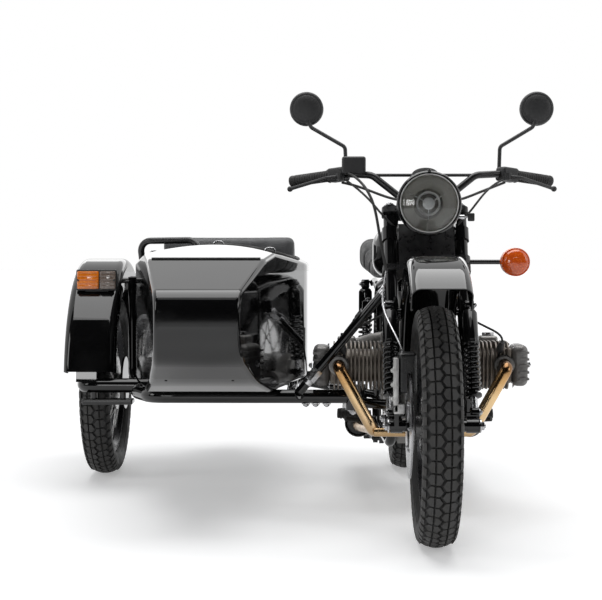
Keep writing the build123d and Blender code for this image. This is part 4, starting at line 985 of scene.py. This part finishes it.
def gearbox_covers():
    """Raised covers, a flange and ribs cast on the flanks of gearbox and crankcase, with their screws."""
    cast, screws = bmesh.new(), bmesh.new()
    for side in (1, -1):
        for inner, outer, ahead, behind, bottom, top, round_off in CAST_RAISED:
            near, far = sorted((side * inner, side * outer))
            brick(cast, (near, ahead, bottom), (far, behind, top), round_off)
        lathe(cast, GEARBOX_BOSS, place(side * 99, 921, 384), (side, 0, 0))
        for y in (852, 921, 990):
            for z in (313, 455):
                bolt(screws, place(side * 99, y, z), (side, 0, 0), 4.2)
        for z in (345, 405, 465, 525):
            bolt(screws, place(side * 118, 795, z), (side, 0, 0), 4.5)
    piece("gearbox_covers", cast, ALLOY, "chassis")
    piece("cover_screws", screws, STEEL, "chassis")


# Links, bolts and axle nuts

LINK_ENDS = [
    # eye on the motorcycle, far end on the sidecar, link radius, eye radius
    ((-214, 560, 346), (-236, 560, 364), 17, 25),
    ((-178, 1125, 325), (-412, 1175, 364), 16, 24),
    ((-66, 446, 768), (-386, 500, 384), 14, 17),
    ((-150, 1133, 628), (-338, 1290, 374), 14, 21),
]
LONG_LINK = 120
RAIL_NUTS_X, RAIL_NUTS_Y, RAIL_NUTS_Z = (-366, -335, -300), 560, 341


def link_fittings():
    """Bolts through the links' eyes, and sleeve nuts at both ends of each long link."""
    fittings = bmesh.new()
    for eye, end, radius, size in LINK_ENDS:
        x, y, z = eye
        bolt(fittings, place(x, y, z + size), UP, size * 0.5)
        bolt(fittings, place(x, y, z - size), DOWN, size * 0.5)
        start, far = place(*eye), place(*end)
        if (far - start).length * 1000 < LONG_LINK:
            continue
        nut = [
            (-24, radius), (-24, radius + 3), (-22, radius + 4), (18, radius + 4), (20, radius + 3),
            (20, radius),
        ]
        collar = [(20, radius), (20, radius + 2), (34, radius + 2), (34, radius)]
        for share in (0.13, 0.86):
            spot = start + (far - start) * share
            lathe(fittings, nut, spot, far - start, 6)
            lathe(fittings, collar, spot, far - start, 28)
    for x in RAIL_NUTS_X:
        bolt(fittings, place(x, RAIL_NUTS_Y, RAIL_NUTS_Z), DOWN, 9)
    piece("link_fittings", fittings, STEEL, "chassis")


DISC_BOLTS, DISC_BOLT_RADIUS, DISC_FACE_X = 6, 74, -73.4
SIDE_NUTS = [
    # body, place on the left, size; each with its mirror image
    ("steering", (127.2, *FRONT_AXLE[1:]), 13),
    ("steering", (131.4, 190, AXLE_Z), 11),
    ("chassis", (132.3, *REAR_AXLE[1:]), 14),
    ("chassis", (121, 1115, 345), 12),
]


def axle_nuts():
    nuts = {"steering": bmesh.new(), "chassis": bmesh.new()}
    front, rest = nuts["steering"], nuts["chassis"]
    for side in (1, -1):
        for body, spot, size in SIDE_NUTS:
            bolt(nuts[body], on_side(side, *spot), (side, 0, 0), size)
        bolt(front, fork_place(side * 107, -10, 1072.5), STEM, 13)
        for behind in (-11.5, 12.5):
            bolt(front, fork_place(side * 42, behind, 1110.5), STEM, 4.5)
    bolt(front, fork_place(0, 0, 1064.5), STEM, 17)
    slug(rest, place(-1202.3, *SIDE_AXLE[1:]), RIGHT, 14, 4, 6, 1)
    bolt(rest, place(-1010, *SIDE_AXLE[1:]), LEFT, 11)
    piece("front_end_nuts", front, STEEL, "steering")
    piece("axle_nuts", rest, STEEL, "chassis")
    hub = bmesh.new()
    for i in range(DISC_BOLTS):
        turn = math.tau * i / DISC_BOLTS
        y, z = DISC_BOLT_RADIUS * math.cos(turn), DISC_BOLT_RADIUS * math.sin(turn)
        bolt(hub, place(DISC_FACE_X, y, AXLE_Z + z), RIGHT, 4.6)
    piece("disc_bolts", hub, STEEL, "front_wheel")


# Body trim

# The bumper runs straight from start to bend, swings back and ends in a cap of (step, share of width) rings
BUMPER_START, BUMPER_BEND, BUMPER_END = (-944, 930, 364), (-1104, 930, 364), 28
BUMPER_RADIUS, BUMPER_TURN, BUMPER_SWING = 25, 34, math.radians(75)
BUMPER_CAP = [(3, 0.97), (2.5, 0.92), (2, 0.82), (1, 0.6)]


def ring_edges(ring):
    """Edges between vertices of a ring."""
    return list({e for v in ring for e in v.link_edges if e.other_vert(v) in ring})


def draw_out(bm, ring, shift, share=1.0):
    """Extrudes a ring of vertices by a shift and draws the new ring in towards its middle."""
    made = new_verts(bmesh.ops.extrude_edge_only(bm, edges=ring_edges(ring))["geom"])
    bmesh.ops.translate(bm, vec=shift, verts=made)
    middle = sum((v.co for v in made), Vector()) / len(made)
    bmesh.ops.scale(bm, vec=[share] * 3, space=Matrix.Translation(-middle), verts=made)
    return made


def bumper_sleeve():
    """Fat cover on the tube in front of the sidecar's wheel, bent back to a rounded end."""
    bm = bmesh.new()
    start, bend = place(*BUMPER_START), place(*BUMPER_BEND)
    inner = bmesh.ops.create_circle(
        bm, cap_ends=False, segments=40, radius=BUMPER_RADIUS / 1000, matrix=aim(start, bend - start),
    )["verts"]
    ring = draw_out(bm, inner, bend - start)
    swung = bmesh.ops.spin(
        bm, geom=ring + ring_edges(ring), cent=bend + Vector(BACK) * BUMPER_TURN / 1000, axis=UP,
        angle=-BUMPER_SWING, steps=10,
    )["geom_last"]
    way = Vector((-math.cos(BUMPER_SWING), math.sin(BUMPER_SWING), 0)) / 1000
    ring = draw_out(bm, new_verts(swung), way * BUMPER_END)
    for step, share in BUMPER_CAP:
        ring = draw_out(bm, ring, way * step, share)
    for rim in (inner, ring):
        bmesh.ops.contextual_create(bm, geom=rim)
    piece("bumper_sleeve", bm, GLOSS, "chassis")


CROWN_RADIUS, CROWN_TOP = 721, 848


def crown(x):
    """Height of the sidecar's arched top, at millimetres from its centre line."""
    return CROWN_TOP - CROWN_RADIUS + math.sqrt(CROWN_RADIUS ** 2 - x ** 2)


def rounded_loop(points, radii, steps=7):
    """Points of a closed outline with its corners rounded."""
    made = []
    for i, (point, radius) in enumerate(zip(points, radii)):
        spot = Vector(point)
        back = (Vector(points[i - 1]) - spot).normalized()
        ahead = (Vector(points[(i + 1) % len(points)]) - spot).normalized()
        reach = radius / math.tan(back.angle(ahead) / 2)
        start, end = spot + back * reach, spot + ahead * reach
        for k in range(steps):
            t = k / (steps - 1)
            made.append(start * (1 - t) ** 2 + spot * 2 * t * (1 - t) + end * t ** 2)
    return made


# Cockpit outline: corners across and behind, and the radius of each
COCKPIT = [(-214, 850), (214, 850), (260, 1060), (260, 1490), (-260, 1490), (-260, 1060)]
COCKPIT_RADII = [70, 70, 200, 40, 40, 200]
EDGING_STEP = 45


def cockpit_edging():
    """Rubber edging round the cockpit, along the arched top."""
    loop = rounded_loop(COCKPIT, COCKPIT_RADII)
    path = []
    for i, spot in enumerate(loop):
        ahead = loop[(i + 1) % len(loop)]
        count = max(1, int((ahead - spot).length / EDGING_STEP))
        for k in range(count):
            p = spot.lerp(ahead, k / count)
            path.append(place(SIDECAR_X + p.x, p.y, crown(p.x) - 1))
    strand("cockpit_edging", path + path[:2], 7.5, RUBBER, "chassis")


HOOKS_Y, HOOKS_X = 826, (-212, 3, 176)
HOOK = [(-17, 0, -2), (-17, -2, 8), (-9, -4, 12.5), (9, -4, 12.5), (17, -2, 8), (17, 0, -2)]


def cover_hooks():
    """Wire hooks on the cowl that a cover is buttoned to."""
    for i, across in enumerate(HOOKS_X):
        wire = [place(SIDECAR_X + across + x, HOOKS_Y + y, crown(across) + z) for x, y, z in HOOK]
        strand(f"cover_hook_{i}", wire, 2.6, STEEL, "chassis")


STUDS_X, STUDS_Z = (-106, 90), 447
# Dark bead along the cowl's seam, painted shade for the shadow in the gap under the lip: its place behind,
# half length and step in millimetres
GAP_SHADOW_Y, GAP_SHADOW_HALF, GAP_SHADOW_STEP = 336, 165, 55


def nose_trim():
    """Studs low on the nose, and a dark bead along the seam under the cowl's lip that stands for the shadow
    in its gap (painted shade), landed on the shell.
    """
    shell = skin("sidecar_body")
    studs = bmesh.new()
    for x in STUDS_X:
        spot, facing = shell.ray_cast(place(SIDECAR_X + x, -400, STUDS_Z), Vector(BACK))[:2]
        slug(studs, spot - facing * 0.001, facing, 4.2, 2.4, 18, 0.6)
    piece("nose_studs", studs, MATTE, "chassis")
    # The dark bead along the seam is painted shade: it stands for the shadow in the gap under the cowl's lip
    gap_shadow = []
    for x in range(-GAP_SHADOW_HALF, GAP_SHADOW_HALF + 1, GAP_SHADOW_STEP):
        gap_shadow.append(shell.ray_cast(place(SIDECAR_X + x, GAP_SHADOW_Y, 1000), Vector(DOWN))[0] + Vector(UP) * 0.001)
    strand("cowl_gap_shadow", gap_shadow, 4.5, MATTE, "chassis")


def cockpit_mat():
    mat = bmesh.new()
    brick(mat, (SIDECAR_X - 190, 560, 394), (SIDECAR_X + 190, 955, 401), 3)
    piece("cockpit_mat", mat, CARPET, "chassis")


LOCK = [(-2, 15), (3, 15), (5, 13), (7, 9), (14, 9), (16, 7), (16, 0)]


def trunk_lock():
    lock = bmesh.new()
    lathe(lock, LOCK, place(SIDECAR_X, 1850, 722), (0, 0.46, 0.89), 28)
    piece("trunk_lock", lock, STEEL, "trunk_lid")


BEAD_RADIUS, BEAD_STEPS = 3.4, 30
GUARD_EDGES = [
    # name, centre, edge radius, half width, degrees ahead, degrees behind, body
    ("front_guard", (0, -15, 385), 358, 82, 37, 87, "steering"),
    ("rear_guard", (*REAR_AXLE[:2], 345), 329, 82, 62, 96, "chassis"),
    ("sidecar_guard", (*SIDE_AXLE[:2], 350), 370, 87, 82, 82, "chassis"),
]


def guard_beads():
    """Rolled edges of the mudguards."""
    for name, (x, y, z), radius, half, ahead, behind, body in GUARD_EDGES:
        turns = [math.radians(-ahead + (ahead + behind) * i / BEAD_STEPS) for i in range(BEAD_STEPS + 1)]
        for side, hand in ((-1, "right"), (1, "left")):
            edge = x + side * (half - BEAD_RADIUS)
            path = [place(edge, y + radius * math.sin(turn), z + radius * math.cos(turn)) for turn in turns]
            strand(f"{name}_bead_{hand}", path, BEAD_RADIUS, GLOSS, body, 2)


# Seats

# Sizes in metres: cells of the cover, height of its held foot, furthest swell, and the sewn seams
CELL, FOOT_HEIGHT, MOST_SWELL = 0.006, 0.012, 0.007
SEAM_WIDTH, SEAM_DEPTH, SEAM_HOLD = 0.010, 0.005, 0.006
STUFFING = {
    "quality": 5, "mass": 0.25, "tension_stiffness": 18, "compression_stiffness": 18,
    "bending_stiffness": 1.5, "use_pressure": True, "uniform_pressure_force": 4,
}


def stuffed(name, part, material, across=(), along=(), body="chassis"):
    """Sewn cover over foam: the part's shape in small cells, swollen by cloth pressure.

    Seams at places across and along are held down, and so is the foot that the pad rests on.
    """
    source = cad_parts[part]
    mesh = source.data.copy()
    mesh.transform(source.matrix_world)
    mesh.materials.clear()
    shape = bpy.data.objects.new(name, mesh)
    bpy.context.scene.collection.objects.link(shape)
    cells = shape.modifiers.new("cells", "REMESH")
    cells.mode = "VOXEL"
    cells.voxel_size = CELL
    settle(shape)
    rest = [v.co.copy() for v in shape.data.vertices]
    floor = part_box(part)[0][2] + FOOT_HEIGHT
    held = shape.vertex_groups.new(name="held")
    for v in shape.data.vertices:
        away = min([abs(v.co.x - x) for x in across] + [abs(v.co.y - y) for y in along], default=SEAM_WIDTH)
        sink = SEAM_DEPTH * max(0.0, 1 - away / SEAM_WIDTH)
        if v.co.z < floor:
            held.add([v.index], 1.0, "REPLACE")
        elif sink > 0:
            v.co -= v.normal * sink
            held.add([v.index], min(1.0, 0.35 + sink / SEAM_HOLD), "REPLACE")
    swell(shape, rest)
    shape.vertex_groups.clear()
    shape.data.materials.append(material)
    shape.data.polygons.foreach_set("use_smooth", [True] * len(shape.data.polygons))
    smooth = shape.modifiers.new("smooth", "SUBSURF")
    smooth.levels = smooth.render_levels = 1
    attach(shape, body)
    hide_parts(part)


def swell(shape, rest):
    """Lets cloth pressure puff a cover out, no further from its rest than foam would."""
    stuff = shape.modifiers.new("stuffing", "CLOTH")
    for key, value in STUFFING.items():
        setattr(stuff.settings, key, value)
    stuff.settings.vertex_group_mass = "held"
    stuff.settings.effector_weights.gravity = 0
    stuff.collision_settings.use_collision = False
    for step in range(1, 21):
        bpy.context.scene.frame_set(step)
    settle(shape)
    bpy.context.scene.frame_set(1)
    for v, home in zip(shape.data.vertices, rest):
        move = v.co - home
        if move.length > MOST_SWELL:
            v.co = home + move.normalized() * MOST_SWELL


def settle(shape):
    """Puts the shape's modifiers into its mesh."""
    deps = bpy.context.evaluated_depsgraph_get()
    made = bpy.data.meshes.new_from_object(shape.evaluated_get(deps))
    old = shape.data
    shape.data = made
    bpy.data.meshes.remove(old)
    shape.modifiers.clear()


SADDLE_SEAMS = (1000, 1065, 1130, 1205, 1280, 1345, 1410)
CUSHION_SEAMS = (-125, -62, 0, 62, 125)


def seats():
    along = [place(0, y, 0).y for y in SADDLE_SEAMS]
    stuffed("rider_saddle", "rider_seat", SEAT, along=along)
    across = [place(SIDECAR_X + x, 0, 0).x for x in CUSHION_SEAMS]
    stuffed("sidecar_cushion", "sidecar_seat", GREY_SEAT, across=across)
    stuffed("sidecar_back", "sidecar_backrest", GREY_SEAT)


# Exact parts take their finish

PAINTED = {
    GLOSS: "fork_legs leading_link front_fender headlight_shell frame fuel_tank rear_fender swingarm "
           "side_boxes sidecar_frame sidecar_body sidecar_fender sidecar_swingarm trunk_lid front_shocks "
           "rear_shocks sidecar_shock sidecar_struts",
    SATIN: "fork_yokes handlebar brake_caliper plate_bracket grab_rail mufflers centre_stand tail_lamps",
    MATTE: "hand_controls mirrors speedometer sidecar_front_lamp",
    SIGNAL_CUP: "front_signal",
    RUBBER: "grips foot_pegs",
    TYRE: "front_tyre rear_tyre sidecar_tyre",
    FRONT_WHEEL: "front_wheel",
    REAR_WHEEL: "rear_wheel",
    SIDE_WHEEL: "sidecar_wheel",
    DISC: "brake_disc",
    STEEL: "fuel_cap",
    ALLOY: "engine_case carburettors final_drive",
    FINS: "cylinders cylinder_heads",
    COVER: "rocker_covers",
    PIPE: "exhaust_pipes",
    SEAT: "rider_seat",
    GREY_SEAT: "sidecar_seat sidecar_backrest",
    GLASS: "headlight_lens",
}


def paint_parts():
    for material, names in PAINTED.items():
        for name in names.split():
            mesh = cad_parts[name].data
            for spot in range(max(1, len(mesh.materials))):
                if len(mesh.materials) <= spot:
                    mesh.materials.append(material)
                else:
                    mesh.materials[spot] = material


# Studio

SEEN_RAYS = ("Is Camera Ray", "Is Glossy Ray", "Is Transmission Ray")


def seen_rays(nodes):
    """One where a ray comes from the camera, a mirror or a glass."""
    total = 0.0
    for name in SEEN_RAYS:
        ray = nodes.node("LightPath", {}, {}, name)
        total = ray.sum("MAXIMUM", ray, total)
    return total


def stage_piece(name, bm, material):
    made = mesh_object(name, bm, material)
    return made


# Floor's glow on seen rays: from a near distance to a far one, in metres, and its strength at both
GLOW_NEAR, GLOW_FAR, GLOW_LOW, GLOW_HIGH = 1.6, 7.0, 0.32, 0.76
FLOOR_HALF = 60
STUDIO_LAMPS = [
    # name, place in metres, size, power, aim
    ("overhead_softbox", (0.0, 0.0, 3.6), (3.6, 3.0), 108, (0, 0, 0)),
    ("back_softbox", (-0.3, 5.0, 2.35), (6.0, 1.0), 25, (-0.2, -0.4, 0.7)),
    ("front_window", (-1.3, -4.8, 1.2), (0.9, 0.55), 15, (0.4, -0.6, 0.95)),
    ("left_softbox", (-4.0, -2.4, 2.4), (1.4, 2.2), 34, (-0.2, -0.2, 0.6)),
    ("right_softbox", (4.2, -2.0, 2.2), (1.2, 2.2), 30, (0.3, -0.3, 0.6)),
]


def studio():
    pale = Finish(
        "pale studio floor", (0.88, 0.88, 0.88), 0.75, Specular_IOR_Level=0.2, Emission_Color=(1, 1, 1, 1),
    )
    pale.feed("Base Color", pale.tint(pale.noise(0.6, 2), (0.87, 0.87, 0.87), (0.89, 0.89, 0.89)))
    away = (pale.axis("X") ** 2 + pale.axis("Y") ** 2) ** 0.5
    glow = pale.between(away, GLOW_NEAR, GLOW_FAR, GLOW_LOW, GLOW_HIGH)
    pale.feed("Emission Strength", glow * seen_rays(pale))
    ground = bmesh.new()
    bmesh.ops.create_grid(ground, x_segments=1, y_segments=1, size=FLOOR_HALF)
    stage_piece("studio_floor", ground, pale.material)
    dark_hall()
    for name, spot, size, power, target in STUDIO_LAMPS:
        data = bpy.data.lights.new(name, "AREA")
        data.shape = "RECTANGLE"
        data.size, data.size_y = size
        data.energy = power
        lamp = bpy.data.objects.new(name, data)
        lamp.location = spot
        lamp.visible_camera = False
        lamp.rotation_euler = (Vector(spot) - Vector(target)).to_track_quat("Z", "Y").to_euler()
        bpy.context.scene.collection.objects.link(lamp)


# Dark hall: radius in metres, degrees up and to each side, middle
HALL_RADIUS, HALL_TOP, HALL_SIDE = 13.2, 66, 78
HALL_MIDDLE = Vector((-0.2, -0.85, 0))


def dark_hall():
    """Dark hall in front of the stage, a part of a dome that only reflections see."""
    cloth = Finish("black hall cloth", (0.004, 0.004, 0.004), 1.0)
    cloth.feed("Base Color", cloth.tint(cloth.noise(4, 3), (0.003, 0.003, 0.003), (0.006, 0.006, 0.006)))
    hall = bmesh.new()
    rises = [math.radians(HALL_TOP * i / 8) for i in range(9)]
    ways = [Vector((0, -math.cos(rise), math.sin(rise))) for rise in rises]
    arc = [hall.verts.new(HALL_MIDDLE + way * HALL_RADIUS) for way in ways]
    edges = [hall.edges.new(pair) for pair in zip(arc, arc[1:])]
    turn = Matrix.Rotation(math.radians(-HALL_SIDE), 3, "Z")
    bmesh.ops.rotate(hall, verts=arc, cent=HALL_MIDDLE, matrix=turn)
    bmesh.ops.spin(
        hall, geom=arc + edges, cent=HALL_MIDDLE, axis=UP, angle=math.radians(2 * HALL_SIDE), steps=24,
    )
    made = stage_piece("dark_hall", hall, cloth.material)
    made.visible_camera = made.visible_diffuse = made.visible_shadow = False


def sky():
    """White where it is seen, and a soft light elsewhere."""
    world = bpy.data.worlds.new("white studio")
    bpy.context.scene.world = world
    world.use_nodes = True
    nodes = Nodes(world.node_tree)
    nodes.tree.nodes.clear()
    soft = nodes.node("Background", {}, {"Color": (0.95, 0.97, 1.0, 1), "Strength": 0.3})
    white = nodes.node("Background", {}, {"Color": (1, 1, 1, 1)})
    mix = nodes.node("MixShader", {}, {0: seen_rays(nodes), 1: soft, 2: white})
    out = nodes.tree.nodes.new("ShaderNodeOutputWorld")
    nodes.join(out.inputs["Surface"], mix)


CAMERA_PLACE, CAMERA_LENS, SENSOR = (0.0835, -4.8795, 0.821), 86.53, 36
CAMERA_DOWN, CAMERA_TURN = 1.86, 0.83


def camera():
    data = bpy.data.cameras.new("front camera")
    data.sensor_fit = "HORIZONTAL"
    data.sensor_width = SENSOR
    data.lens = CAMERA_LENS
    eye = bpy.data.objects.new("front camera", data)
    eye.location = CAMERA_PLACE
    eye.rotation_euler = (math.radians(90 - CAMERA_DOWN), 0, math.radians(CAMERA_TURN))
    bpy.context.scene.collection.objects.link(eye)
    bpy.context.scene.camera = eye
    bpy.context.scene.view_settings.view_transform = "Standard"


paint_parts()
tyres()
dampers()
headlamp()
mirrors()
front_indicator()
sidecar_lamps()
tail_lenses()
dial()
grips()
cables()
caliper_bracket()
ignition_key()
foot_rubbers()
engine_fittings()
gearbox_covers()
link_fittings()
axle_nuts()
bumper_sleeve()
cockpit_edging()
cover_hooks()
nose_trim()
cockpit_mat()
trunk_lock()
guard_beads()
seats()
studio()
sky()
camera()
